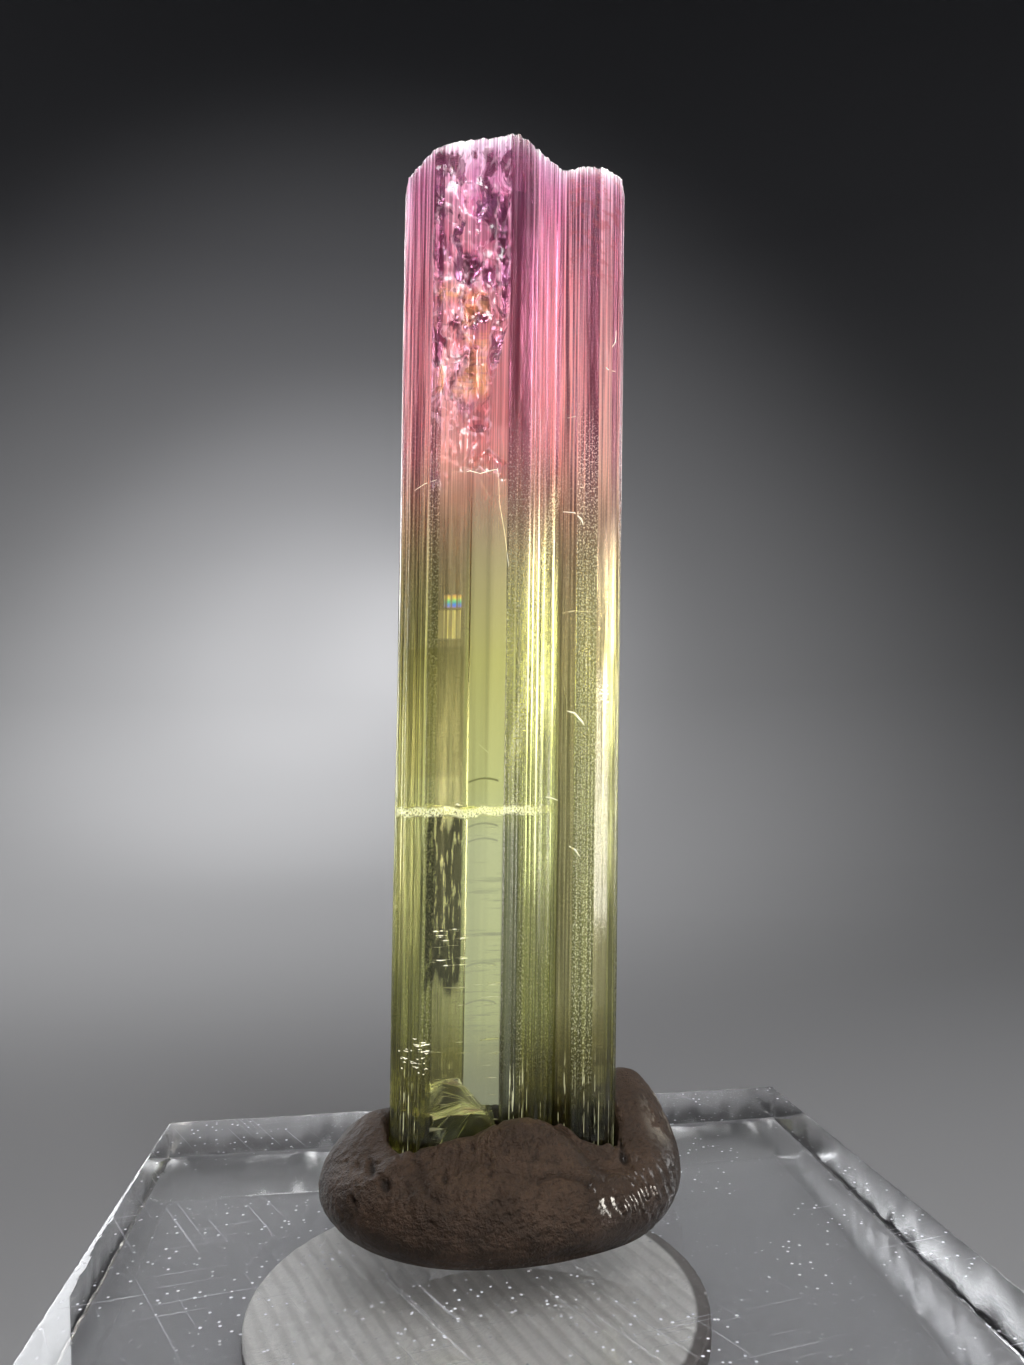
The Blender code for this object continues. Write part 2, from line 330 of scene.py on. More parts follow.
SWEEP_FLAT, SWEEP_CURVE, SWEEP_TOP = 120.0, 300.0, 460.0

# Panels that show in glass and gloss alone: name, place, target, size, watts, tint
PANELS = (
    ("back_left", (-105, 160, 64), (0, 3, 36), (75, 110), 0.12, (0.95, 0.97, 1.0)),
    ("back_right", (150, 120, 70), (0, 3, 42), (70, 120), 0.035, (1.0, 1.0, 1.0)),
    ("back_top", (0, 60, 160), (0, 3, 50), (70, 70), 0.06, (1.0, 1.0, 1.0)),
    ("right_kick", (110, -50, 22), (6, 0, 31), (40, 40), 0.05, (1.0, 0.95, 0.85)),
)

# The panel seen through the crystal's clear window, and in glass alone
WINDOW_PANEL = ("back_middle", (5, 30, 29), (5, 0, 29), (16, 54), 0.0012)

# Spots from behind, into the milky parts of the stone: name, place, target, degrees, watts
TORCHES = (
    ("torch", (-60, 110, 110), (0.5, 3, 58), 20, 2.4),
    ("right_torch", (80, 110, 105), (5, 3, 60), 18, 2.0),
    ("low_torch", (-70, 120, 60), (0.5, 3, 42), 18, 1.3),
)

# Spots that light the wall behind the stone, each wider than the one before
WALL_GLOW_FROM = (-90, -60, 330)
WALL_GLOWS = (
    ("window_glow", (4, 330, 78), 16, 4.0, 0.6),
    ("wall_glow_24", (-24, 325, 72), 24, 4.0, 0.7),
    ("wall_glow_44", (-24, 325, 72), 44, 6.5, 0.7),
    ("wall_glow_80", (-24, 325, 72), 80, 6.0, 0.7),
)


def length(name, description, millimetres):
    default = millimetres * MM
    return FloatProperty(name=name, description=description, default=default, unit="LENGTH", precision=5)


def index(description, value):
    return FloatProperty(name="Refraction", description=description, default=value)


def colour(name, description, value):
    looks = {"subtype": "COLOR", "min": 0, "max": 1}
    return FloatVectorProperty(name=name, description=description, default=value, **looks)


def pick(name, description, value):
    return IntProperty(name=name, description=description, default=value)


class TOURMALINE_PG_crystal(bpy.types.PropertyGroup):
    ridge_seed: pick("Ridge seed", "Picks the run of growth ridges", 11)
    ridge_wander: length("Ridge wander", "How far a ridge strays over the prism's height", 0.03)
    ring_step: length("Ring step", "Height between rings where the prism is plain", 0.47)
    hollow_step: length("Hollow step", "Height between rings over the etched hollow", 0.125)
    flash_seed: pick("Flash seed", "Picks the places of the small flashes", 3)
    refraction: index("Index of refraction of tourmaline", 1.63)
    foot_dark: colour("Foot dark", "Dark streaks in the green part", (0.07, 0.07, 0.01))
    head_dark: colour("Head dark", "Dark streaks in the pink part", (0.13, 0.015, 0.06))
    crack_tint: colour("Crack", "Light caught in the cracks", (0.95, 0.95, 0.75))


class TOURMALINE_PG_putty(bpy.types.PropertyGroup):
    tint: colour("Putty", "Colour of the putty", (0.062, 0.038, 0.025))
    painted_light_streak: colour("Streaks", "Pale streaks on the rear lump", (0.62, 0.56, 0.46))
    ridge_spacing: length("Finger ridge spacing", "From one pressed finger ridge to the next", 0.42)
    ridge_depth: length("Finger ridge depth", "Depth of the pressed finger ridges", 0.05)
    pore_seed: pick("Pore seed", "Picks the places of the small pores", 5)
    pores: pick("Pores", "How many small pores the skin has", 110)


class TOURMALINE_PG_block(bpy.types.PropertyGroup):
    tint: colour("Acrylic", "Colour of the clear acrylic", (0.97, 0.975, 0.985))
    rim: length("Rim", "Width of the worn bevel round every edge", 0.20)
    chip: length("Chip", "Depth of the deepest chip in an edge", 0.07)
    refraction: index("Index of refraction of acrylic", 1.49)


class TOURMALINE_PG_pad(bpy.types.PropertyGroup):
    tint: colour("Pad", "Colour of the pad", (0.95, 0.93, 0.89))
    ridge_spacing: length("Ridge spacing", "From one ridge of the pad to the next", 0.80)
    ridge_height: length("Ridge height", "Height of the pad's ridges", 0.07)


class TOURMALINE_PG_stage(bpy.types.PropertyGroup):
    floor: colour("Floor", "Colour of the floor", (0.40, 0.40, 0.41))
    wall: colour("Wall", "Colour of the top of the wall", (0.16, 0.16, 0.17))
    air: colour("Air", "Light from all round", (0.05, 0.053, 0.057))


class Value:
    """A number on a node's output: arithmetic on it adds Math nodes to the same tree."""

    def __init__(self, finish, socket):
        self.finish, self.socket = finish, socket

    def math(self, operation, *values):
        return self.finish.node("ShaderNodeMath", {"operation": operation}, dict(enumerate(values)))

    def __add__(self, other):
        return self.math("ADD", self, other)

    def __sub__(self, other):
        return self.math("SUBTRACT", self, other)

    def __rsub__(self, other):
        return self.math("SUBTRACT", other, self)

    def __mul__(self, other):
        return self.math("MULTIPLY", self, other)

    def __truediv__(self, other):
        return self.math("DIVIDE", self, other)

    def __abs__(self):
        return self.math("ABSOLUTE", self)

    def sine(self):
        return self.math("SINE", self)

    def highest(self, other):
        return self.math("MAXIMUM", self, other)

    def lowest(self, other):
        return self.math("MINIMUM", self, other)

    def rise(self, low, high):
        """0 below low, 1 above high, smooth between; low may be the greater."""
        inputs = {"Value": self, "From Min": low, "From Max": high}
        return self.finish.node("ShaderNodeMapRange", {"interpolation_type": "SMOOTHSTEP"}, inputs)

    def within(self, low, high, edge):
        """1 between low and high, falling to 0 over an edge outside them."""
        return self.rise(low - edge, low) * self.rise(high + edge, high)

    __radd__ = __add__
    __rmul__ = __mul__


class Finish:
    """A node tree being built, of a material or of the world."""

    def __init__(self, name, world=False):
        self.owner = (bpy.data.worlds if world else bpy.data.materials).new(name)
        self.owner.use_nodes = True
        self.tree = self.owner.node_tree

    def node(self, kind, settings=None, inputs=None, output=0):
        """Adds a node: its settings first, then its sockets' values or links. Gives the wanted output."""
        made = self.tree.nodes.new(kind)
        for key, value in (settings or {}).items():
            if key == "stops":
                ramp = made.color_ramp
                while len(ramp.elements) < len(value):
                    ramp.elements.new(0.5)
                for element, (place, shade) in zip(ramp.elements, value):
                    element.position = place
                    element.color = (*shade, 1.0)
            else:
                setattr(made, key, value)
        for key, value in (inputs or {}).items():
            self.set(made, key, value)
        return Value(self, made.outputs[output])

    def set(self, node, key, value):
        socket = node.inputs[key]
        if isinstance(value, Value):
            self.tree.links.new(value.socket, socket)
        elif socket.type == "RGBA" and len(value) == 3:
            socket.default_value = (*value, 1.0)
        else:
            socket.default_value = value

    def principled(self, **inputs):
        """Sets the material's own shader; a socket's name has underscores for spaces."""
        shader = self.tree.nodes["Principled BSDF"]
        for key, value in inputs.items():
            self.set(shader, key.replace("_", " "), value)

    def veil(self, factor, **inputs):
        """Lays a second shader over the material's own, as strong as factor says."""
        first = self.tree.nodes["Principled BSDF"].outputs[0]
        sockets = {key.replace("_", " "): value for key, value in inputs.items()}
        second = self.node("ShaderNodeBsdfPrincipled", None, sockets)
        both = self.node("ShaderNodeMixShader", None, {0: factor, 1: Value(self, first), 2: second})
        self.tree.links.new(both.socket, self.tree.nodes["Material Output"].inputs["Surface"])

    def mix(self, factor, a, b):
        return self.node("ShaderNodeMix", {"data_type": "RGBA"}, {0: factor, 6: a, 7: b}, 2)

    def ramp(self, value, stops):
        return self.node("ShaderNodeValToRGB", {"stops": stops}, {"Fac": value})

    def noise(self, vector, scale=1.0, detail=2.0, roughness=0.5):
        inputs = {"Vector": vector, "Scale": scale, "Detail": detail, "Roughness": roughness}
        return self.node("ShaderNodeTexNoise", None, inputs)

    def cells(self, vector, scale=1.0, feature="F1"):
        return self.node("ShaderNodeTexVoronoi", {"feature": feature}, {"Vector": vector, "Scale": scale})

    def place(self, x, y, z=0.0):
        return self.node("ShaderNodeCombineXYZ", None, {"X": x, "Y": y, "Z": z})

    def parts(self, vector):
        split = self.node("ShaderNodeSeparateXYZ", None, {0: vector}).socket.node
        return [Value(self, split.outputs[k]) for k in range(3)]

    def attribute(self, name):
        return self.node("ShaderNodeAttribute", {"attribute_name": name}, None, "Fac")

    def object_place(self):
        """The piece's own coordinates in millimetres."""
        coords = self.node("ShaderNodeTexCoord", None, None, "Object")
        return self.node("ShaderNodeVectorMath", {"operation": "SCALE"}, {0: coords, "Scale": 1 / MM})

    def bump(self, height, distance_mm, strength=1.0):
        inputs = {"Height": height, "Distance": distance_mm * MM, "Strength": strength}
        return self.node("ShaderNodeBump", None, inputs)


class Skin:
    """A closed skin in the making: a ring of points that grows, each ring extruded from the last."""

    def __init__(self, places):
        self.bm = bmesh.new()
        self.number = self.bm.verts.layers.int.new("round")
        ring = [self.bm.verts.new(place) for place in places]
        for number, vert in enumerate(ring):
            vert[self.number] = number
        self.first = [self.bm.edges.new(pair) for pair in zip(ring, ring[1:] + ring[:1])]
        self.edges = self.first

    def grow(self, place_of):
        """Extrudes the open rim; place_of gives a point's new place from its number round the ring."""
        made = bmesh.ops.extrude_edge_only(self.bm, edges=self.edges)["geom"]
        fresh = set(part for part in made if isinstance(part, bmesh.types.BMVert))
        for vert in fresh:
            vert.co = place_of(vert[self.number])
        edges = [part for part in made if isinstance(part, bmesh.types.BMEdge)]
        self.edges = [edge for edge in edges if edge.verts[0] in fresh and edge.verts[1] in fresh]
        return fresh

    def close(self):
        """Fills the open rim, then goes back to the first ring for the other side."""
        (lid,) = bmesh.ops.contextual_create(self.bm, geom=self.edges)["faces"]
        bmesh.ops.poke(self.bm, faces=[lid])
        self.edges = self.first

    def done(self):
        bmesh.ops.recalc_face_normals(self.bm, faces=self.bm.faces)
        return self.bm


def bell(distance):
    """1 at the middle, falling smoothly to 0 at a distance of 1."""
    return (1 - distance * distance) ** 2 if abs(distance) < 1 else 0.0


def smooth(low, high, x):
    t = min(1.0, max(0.0, (x - low) / (high - low)))
    return t * t * (3 - 2 * t)


def rough(x, y, z=0.0, octaves=1):
    """Signed noise, each octave half the size and half the strength of the one before."""
    total, gain = 0.0, 1.0
    for _ in range(octaves):
        total += gain * noise.noise(Vector((x, y, z)))
        x, y, z, gain = 2 * x + 3.1, 2 * y + 1.7, 2 * z, gain / 2
    return total


def along(table, x):
    """The value at x in a table of (x, value), in straight runs."""
    if x <= table[0][0]:
        return table[0][1]
    for (x0, v0), (x1, v1) in zip(table, table[1:]):
        if x <= x1:
            return v0 + (v1 - v0) * (x - x0) / (x1 - x0)
    return table[-1][1]


def from_line(point, line):
    """Distance of a point in the plane from a line of points."""
    nearest = math.inf
    for (x0, y0), (x1, y1) in zip(line, line[1:]):
        run_x, run_y = x1 - x0, y1 - y0
        share = ((point[0] - x0) * run_x + (point[1] - y0) * run_y) / (run_x * run_x + run_y * run_y)
        share = min(1.0, max(0.0, share))
        nearest = min(nearest, math.hypot(point[0] - x0 - run_x * share, point[1] - y0 - run_y * share))
    return nearest


def mesh_object(bm, name, finish, smooth_degrees=None):
    """Makes a bmesh in millimetres an object in metres, smooth where it turns by less than an angle."""
    bmesh.ops.scale(bm, vec=(MM, MM, MM), verts=bm.verts)
    mesh = bpy.data.meshes.new(name)
    bm.to_mesh(mesh)
    bm.free()
    mesh.materials.append(finish.owner)
    if smooth_degrees is not None:
        mesh.shade_smooth()
        mesh.set_sharp_from_angle(angle=math.radians(smooth_degrees))
    obj = bpy.data.objects.new(name, mesh)
    bpy.context.scene.collection.objects.link(obj)
    return obj


def finish_piece(bm, name, finish, replaces=None, smooth_degrees=None):
    """Makes a bmesh a piece of the object, riding on its one body."""
    piece = mesh_object(bm, name, finish, smooth_degrees)
    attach(piece, "root")
    if replaces:
        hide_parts(replaces)


def at_height(x, y, height):
    """A point of the half-height section carried up or down the leaning, slightly tapering prism."""
    spread = 1 + TAPER * (height - MIDDLE)
    return Vector((AXIS_X_AT_FOOT + LEAN * height + x * spread, AXIS_Y + y * spread, BLOCK_TOP + height))


def crystal_outline(seed):
    """Points round the prism as (x, y, inward direction, face, distance round in mm)."""
    rng = random.Random(seed)
    points, travelled = [], 0.0
    for face, (x0, y0, width, depth, *_) in enumerate(FACES):
        x1, y1 = FACES[(face + 1) % len(FACES)][:2]
        side = math.hypot(x1 - x0, y1 - y0)
        inward = Vector(((y0 - y1) / side, (x1 - x0) / side))
        marks, at = [(0.0, 0.0)], 0.0
        while at < side - 0.6 * width:
            ridge = min(width * rng.uniform(0.45, 1.7), side - at)
            sunk = depth * rng.uniform(0.3, 1.0)
            if depth:
                lean = rng.uniform(0.15, 0.6)
                marks += [(at + ridge * lean, sunk), (at + ridge * (lean + 0.22), sunk * 0.55)]
            at += ridge
            if at < side - 0.3 * width:
                marks.append((at, depth * rng.uniform(0.0, 0.35)))
        for mark, sunk in marks:
            x = x0 + (x1 - x0) * mark / side + inward.x * sunk
            y = y0 + (y1 - y0) * mark / side + inward.y * sunk
            points.append((x, y, inward, face, travelled + mark))
        travelled += side
    return points


def eaten_in(across, height):
    """Depth of the etched hollow at a place on the front face, 0 to 1 across it."""
    lower = HOLLOW_FROM + 0.7 * smooth(0.20, 0.26, across) - 0.5 * smooth(0.84, 0.90, across)
    lower += 0.3 * rough(across * 7, 3.0, octaves=2)
    right = along(HOLLOW_RIGHT, height) + 0.04 * rough(height * 1.3, 9.0, octaves=2)
    inside = smooth(lower - 0.05, lower + 0.12, height) * smooth(-0.02, 0.06, across)
    inside *= 1 - smooth(right - 0.05, right + 0.02, across)
    if inside <= 0:
        return 0.0
    bend = 0.35 * rough(across * 3, height * 0.3, 6.0, 2)
    block = noise.cell(Vector((across * 6 + bend, height * 0.45 + 2.0 * bend, 0.0)))
    chip = noise.cell(Vector((across * 17 - bend, height * 1.1 + 3 * bend, 4.0)))
    depth = 0.22 + 0.22 * rough(across * 2.0, height * 0.30, 5.0, 3) + 0.07 * block + 0.04 * chip
    depth += 0.06 * rough(across * 26, height * 0.6, 1.0, 2)
    for pit_across, pit_height, pit_depth, wide, tall in PITS:
        bent = pit_across + 0.04 * rough(height * 1.6, pit_height)
        apart = math.hypot((across - bent) / wide, (height - pit_height) / tall)
        depth += pit_depth * smooth(1.25, 0.75, apart)
    fade = 1 - 0.65 * smooth(49.6, 51.0, height)
    return max(depth, 0.03) * inside * fade


def top_at(x, y):
    """Height of the broken top over a point of the section: toothed, and highest along the front."""
    forward = bell((y + 3.0) / 6.5)
    teeth = 0.15 * rough(x * 4.1, y * 4.1, 4.0, 3) + 0.12 * rough(x * 0.9, y * 0.9, 4.2)
    return min(CRYSTAL_TOP + along(TOP_EDGE, x) * (0.55 + 0.45 * forward) + teeth, CRYSTAL_HIGHEST)


def foot_at(x, y):
    """Height of the break under the crystal: stepped and rippled like broken glass on the front's left."""
    reach = math.hypot((x + 2.6) / 3.2, (y - 0.6) / 3.0) + 0.12 * rough(x * 1.3, y * 1.3, 7.0)
    steps = 2.1 * smooth(1.05, 0.80, reach) + 1.6 * smooth(0.78, 0.60, reach)
    steps += 1.3 * smooth(0.45, 0.20, reach)
    ripple = 0.05 * math.sin(11 * math.hypot(x + 5.5, y - 2.5)) * smooth(1.0, 0.8, reach)
    return CRYSTAL_FOOT + steps + ripple


def crystal_mesh(settings):
    """The prism grown ring by ring from its outline, closed by a broken foot and a toothed top."""
    outline = crystal_outline(settings.ridge_seed)
    wander = settings.ridge_wander / MM
    skin = Skin([at_height(x, y, CRYSTAL_FOOT) for x, y, *_ in outline])
    pit = skin.bm.verts.layers.float.new("pit")
    crest = skin.bm.verts.layers.float.new("crest")
    front = FRONT_TO - FRONT_FROM

    def wall(height):
        def place(number):
            x, y, inward, face, _ = outline[number]
            depth = 0.0
            if FRONT_FACES[0] <= face <= FRONT_FACES[1]:
                depth = eaten_in((x - FRONT_FROM) / front, height)
            stray = wander * rough(x * 1.7, y * 1.7, height * 0.11, 2) if FACES[face][3] else 0.0
            spot = Vector((x, y)) + inward * (depth + stray)
            return at_height(spot.x, spot.y, height)
        return place

    def cap(shrink, height_at):
        def place(number):
            x, y = (c * shrink for c in outline[number][:2])
            return at_height(x, y, height_at(x, y))
        return place

    height = CRYSTAL_FOOT
    while height < HOLLOW_TO:
        if height > HOLLOW_FROM:
            height += settings.hollow_step / MM
        else:
            height += settings.ring_step / MM * (0.5 if height < 6.5 else 1.0)
        for vert in skin.grow(wall(height)):
            x, y, _, face, _ = outline[vert[skin.number]]
            vert[pit] = vert[crest] = 0.0
            if height > HOLLOW_FROM and FRONT_FACES[0] <= face <= FRONT_FACES[1]:
                across = (x - FRONT_FROM) / front
                vert[pit] = eaten_in(across, height)
                around = eaten_in(across - 0.05, height) + eaten_in(across + 0.05, height)
                around += eaten_in(across, height - 0.25) + eaten_in(across, height + 0.25)
                vert[crest] = around / 4 - vert[pit]
    for shrink in CAP_RINGS:
        for vert in skin.grow(cap(shrink, top_at)):
            vert[pit] = vert[crest] = 0.0
    skin.close()
    for shrink in CAP_RINGS[1:]:
        skin.grow(cap(shrink, foot_at))
    skin.close()
    bm = skin.done()

    wrap = bm.loops.layers.uv.new("wrap")
    looks = [bm.faces.layers.float.new(name) for name in FACE_LOOKS]
    total, half = outline[-1][4], len(outline) // 2
    for face in bm.faces:
        numbers = [loop.vert[skin.number] for loop in face.loops]
        seam = max(numbers) - min(numbers) > half
        for loop, number in zip(face.loops, numbers):
            round_at = outline[number][4] + (total if seam and number < half else 0.0)
            loop[wrap].uv = (round_at / 100, (loop.vert.co.z - BLOCK_TOP) / 100)
        row = FACES[outline[max(numbers) if seam else min(numbers)][3]]
        for layer, value in zip(looks, row[4:]):
            face[layer] = value
    return bm


def tourmaline_finish(settings):
    f = Finish("tourmaline")
    across, height, _ = f.parts(f.node("ShaderNodeUVMap", {"uv_map": "wrap"}))
    across, height = across * 100, height * 100
    grain, clear, warm, shade, milky = (f.attribute(name) for name in FACE_LOOKS)
    pit, crest = f.attribute("pit"), f.attribute("crest")
    share = height / COLOUR_HEIGHT
    black = (0.0, 0.0, 0.0)

    def patch(round_span, height_span):
        return across.within(*round_span) * height.within(*height_span)

    # Streaks that run the length of the prism, and specks
    wide = f.noise(f.place(across * 1.7, height * 0.025))
    fine = f.noise(f.place(across * 9.0, height * 0.06, 4.0), detail=3.0, roughness=0.65)
    rib = f.noise(f.place(across * 14.0, height * 0.05, 9.0), detail=3.0, roughness=0.6)
    specks = f.noise(f.place(across * 13, height * 9), roughness=0.7)

    body = f.mix(warm, f.ramp(share, MAIN_COLOURS), f.ramp(share, SIDE_COLOURS))
    dark = wide.rise(0.62, 0.38) * 0.35 + fine.rise(0.58, 0.42) * 0.55 + shade * 0.40
    dark = (dark * (1 - clear * 0.9)).lowest(1.0)
    layers = f.noise(f.place(across * 0.25, height * 3.4, 2.0), detail=4.0, roughness=0.7)
    low_clear = clear * height.within(4.5, 18.0, 0.6)
    growth = layers.rise(0.54, 0.64) * low_clear * 0.75
    # Painted glints: pale lines low in the clear window, glowing through the veil
    painted_glints = layers.rise(0.40, 0.33) * low_clear * height.rise(13.5, 9.5)
    bands = f.noise(f.place(across * 1.3, height * 0.02, 15.0)).rise(0.44, 0.60)
    growth = growth.highest(bands * clear * 0.35)
    sagging = height + (across - WINDOW_MIDDLE) * (across - WINDOW_MIDDLE) * 0.30
    for arc_height in WINDOW_ARCS:
        arc = abs(sagging - arc_height).rise(0.07, 0.03) * across.within(*ARCS_ACROSS)
        growth = growth.highest(arc * 0.9)
    deep = f.mix(share.rise(0.55, 0.7), tuple(settings.foot_dark), tuple(settings.head_dark))
    body = f.mix((dark * 0.85).highest(growth), body, deep)
    body = f.mix(clear * height.rise(20.0, 17.0) * 0.5, body, (0.74, 0.80, 0.52))
    column = across.within(*DARK_COLUMN_ACROSS) * height.rise(19.2, 17.5)
    body = f.mix(column * 0.85, body, (0.07, 0.08, 0.05))
    purple = across.within(*PURPLE_ACROSS)
    body = f.mix(purple * share.rise(0.60, 0.70) * 0.5, body, deep)

    # The etched hollow: dark voids with painted shade in its deepest pits, lilac clouds, amber glass, and
    # pale curled ridges with a painted highlight on each crest
    hollow = pit.rise(0.01, 0.05)
    bent = f.noise(f.place(across * 0.7, height * 0.35, 12.0), detail=3.0)
    shifted = across + bent * 3.0
    caves = f.noise(f.place(shifted * 0.9, height * 0.55, 7.0), detail=4.0, roughness=0.6)
    # Dark voids in the hollow, with painted shade where the pits are deepest
    voids_and_pit_shade = (caves.rise(0.49, 0.56) * height.rise(35.6, 41.0) * 0.85).highest(pit.rise(0.45, 0.8)) * hollow
    body = f.mix(voids_and_pit_shade * 0.92, body, (0.07, 0.01, 0.05))
    amber = f.noise(f.place(shifted * 0.6, height * 0.30, 6.0)).rise(0.46, 0.54) * hollow
    ripple = f.noise(f.place(shifted * 0.6, height * 4.5, 18.0), detail=3.0).rise(0.60, 0.46)
    amber = amber * patch(*AMBER_GLASS) * (0.35 + ripple * 0.65)
    body = f.mix(amber * 0.7, body, (0.95, 0.50, 0.16))
    cloud = f.noise(f.place(shifted * 0.5, height * 0.4, 21.0)).rise(0.50, 0.60) * hollow
    body = f.mix(cloud * 0.5, body, (0.80, 0.42, 0.90))
    curls_and_crest_highlight = abs(f.noise(f.place(shifted * 1.2, height * 0.20, 3.0), detail=3.0) - 0.5)
    curls_and_crest_highlight = curls_and_crest_highlight.rise(0.026, 0.002) * hollow * height.rise(35.0, 36.0) * bent.rise(0.36, 0.46)
    # The crests of the etched relief turn paler, a painted highlight, joined to the pale curled ridges
    curls_and_crest_highlight = (curls_and_crest_highlight * 0.7).highest(crest.rise(0.03, 0.14))
    ripples = f.noise(f.place(across * 1.6 + height * 0.5, height * 1.9, 44.0), detail=4.0, roughness=0.7)
    ripples = ripples.rise(0.48, 0.60) * height.rise(43.0, 46.0) * across.within(9.0, 12.0, 0.4)
    body = f.mix(ripples * 0.6, body, (0.45, 0.10, 0.12))

    # Granular faces with painted sparkle, the flecked dark part low on the left, and the bright strip beside
    # the window, with more painted sparkle
    grain = grain * share.rise(0.76, 0.68)
    # Painted sparkle: bright specks that lighten the veil and glow by its emission
    painted_sparkle = specks.rise(0.52, 0.60) * (0.12 + grain * 0.88) * (1 - clear)
    flecked = (height + wide * 5.0 - 2.5).within(*FLECKS_UP) * across.within(*FLECKS_ACROSS)
    blots = f.noise(f.place(across * 5.0, height * 0.7, 31.0), detail=4.0, roughness=0.7).rise(0.38, 0.47)
    body = f.mix(flecked * blots * 0.97, body, (0.001, 0.001, 0.0))
    strip = (across - (height - 24.1) * 0.165).within(6.35, 6.75, 0.25) * height.within(22.0, 33.5, 2.0)
    painted_sparkle = painted_sparkle.highest(strip * specks.rise(0.47, 0.56))
    body = f.mix(strip * 0.5, body, (0.95, 0.92, 0.25))

    # The dark block of the left flank, and the crack's granular edge, a pale band made brighter by a painted
    # glow
    block = patch(*DARK_BLOCK)
    body = f.mix(block * 0.45, body, (0.16, 0.14, 0.02))
    waver = f.noise(f.place(across * 0.9, 0.0, 40.0), detail=4.0) - 0.5
    above_crack = height + waver * 0.8 - CRACK_HEIGHT
    crack = abs(above_crack).rise(0.30, 0.12) * across.rise(8.6, 6.8) * specks.rise(0.36, 0.52)
    level = rib * 0.5 * (1 - clear) + specks * grain * 0.8
    normal = f.bump(level, 0.05, 0.6)
    f.principled(
        Base_Color=body,
        Roughness=0.03 + grain * 0.12 + pit.rise(0.05, 0.5) * 0.15,
        IOR=settings.refraction,
        Transmission_Weight=1.0,
        Normal=normal,
    )

    # The milky veil inside the stone, lit partly by the lamps and partly by a painted glow: how strong it is,
    # then its colour
    pink = share.rise(0.58, 0.70)
    lines = fine.rise(0.46, 0.62)
    # Painted reflection: the rainbow flash of a thin crack, brightening the veil
    rainbow = patch(*RAINBOW) * (0.3 + fine.rise(0.40, 0.55) * 0.7)
    straw = patch(*STRAW_BLOCK) * (0.35 + lines * 0.65)
    light = 0.03 + milky * 0.04 + pink * (0.28 + warm * 0.45) + lines * (0.08 + milky * 0.05 + pink * 0.28)
    light = light * (1 - clear * (1 - pink) * 0.8) * (1 - voids_and_pit_shade * 0.85) * (1 - flecked * 0.8)
    # Painted highlight: a pale band along the toothed top, brightening the veil
    rim = share.rise(0.965, 1.0) * fine.rise(0.40, 0.60)
    light = light + painted_sparkle * (0.5 - flecked * 0.3) + rim * 0.15 + curls_and_crest_highlight * 0.35 + amber * 0.2
    light = light * (1 - block * 0.6) * (1 - column * 0.7) * (1 - purple * pink * 0.6) * (1 - hollow * 0.15)
    light = light + straw * 0.6 + rainbow * 0.7
    broken = f.noise(f.place(across * 9.0, height * 1.1, 50.0)).rise(0.44, 0.56)
    # Painted glints: bright broken lines low on the foot, glowing through the veil
    painted_foot_glints = fine.rise(0.56, 0.63) * share.within(0.07, 0.125, 0.035) * (1 - clear) * broken
    painted_foot_glints = painted_foot_glints * (1 - across.within(1.9, 5.7, 0.2))
    light = light * share.rise(0.10, 0.17) + painted_foot_glints * 0.7 + crack * 0.8 + painted_glints * 0.6
    # Painted glow: where the veil's emission is strongest, at the crack, the foot and window glints and the
    # sparkle
    caught = crack * 0.55 + painted_foot_glints * 0.5 + painted_glints * 0.35 + painted_sparkle * 0.22
    pale = crack.highest(painted_glints).highest(painted_foot_glints)
    shine = f.mix(warm * 0.6, f.ramp(share, GLOW_COLOURS), f.ramp(share, SIDE_COLOURS))
    shine = f.mix(dark.rise(0.15, 0.85) * 0.92, shine, deep)
    shine = f.mix(voids_and_pit_shade * 0.9, shine, (0.10, 0.02, 0.08))
    shine = f.mix(ripples * 0.55, shine, (0.50, 0.12, 0.14))
    shine = f.mix(amber * 0.7, shine, (0.98, 0.58, 0.22))
    shine = f.mix((curls_and_crest_highlight * 0.7).highest(rim * 0.35), shine, (1.0, 0.72, 0.82))
    shine = f.mix(straw * 0.8, shine, (0.95, 0.85, 0.30))
    shine = f.mix(rainbow, shine, f.ramp((height - 28.2) / 0.8, RAINBOW_COLOURS))
    painted_glow_tint = f.mix(pink, (0.9, 0.9, 0.45), (1.0, 0.7, 0.75))
    # The veil's emission is a painted glow everywhere in it, brightest and palest at the painted glints and
    # sparkle
    f.veil(
        light.lowest(0.92),
        Base_Color=f.mix((painted_sparkle * 0.6).highest(pale * 0.8).lowest(0.9), shine, (1.0, 0.98, 0.80)),
        Roughness=0.3,
        IOR=settings.refraction,
        Subsurface_Weight=1.0,
        Subsurface_Radius=(6.0, 6.0, 6.0),
        Subsurface_Scale=MM,
        Emission_Color=f.mix(caught.lowest(1.0), f.mix(0.80, shine, black), painted_glow_tint),
        Emission_Strength=1.0,
        Normal=normal,
    )
    return f


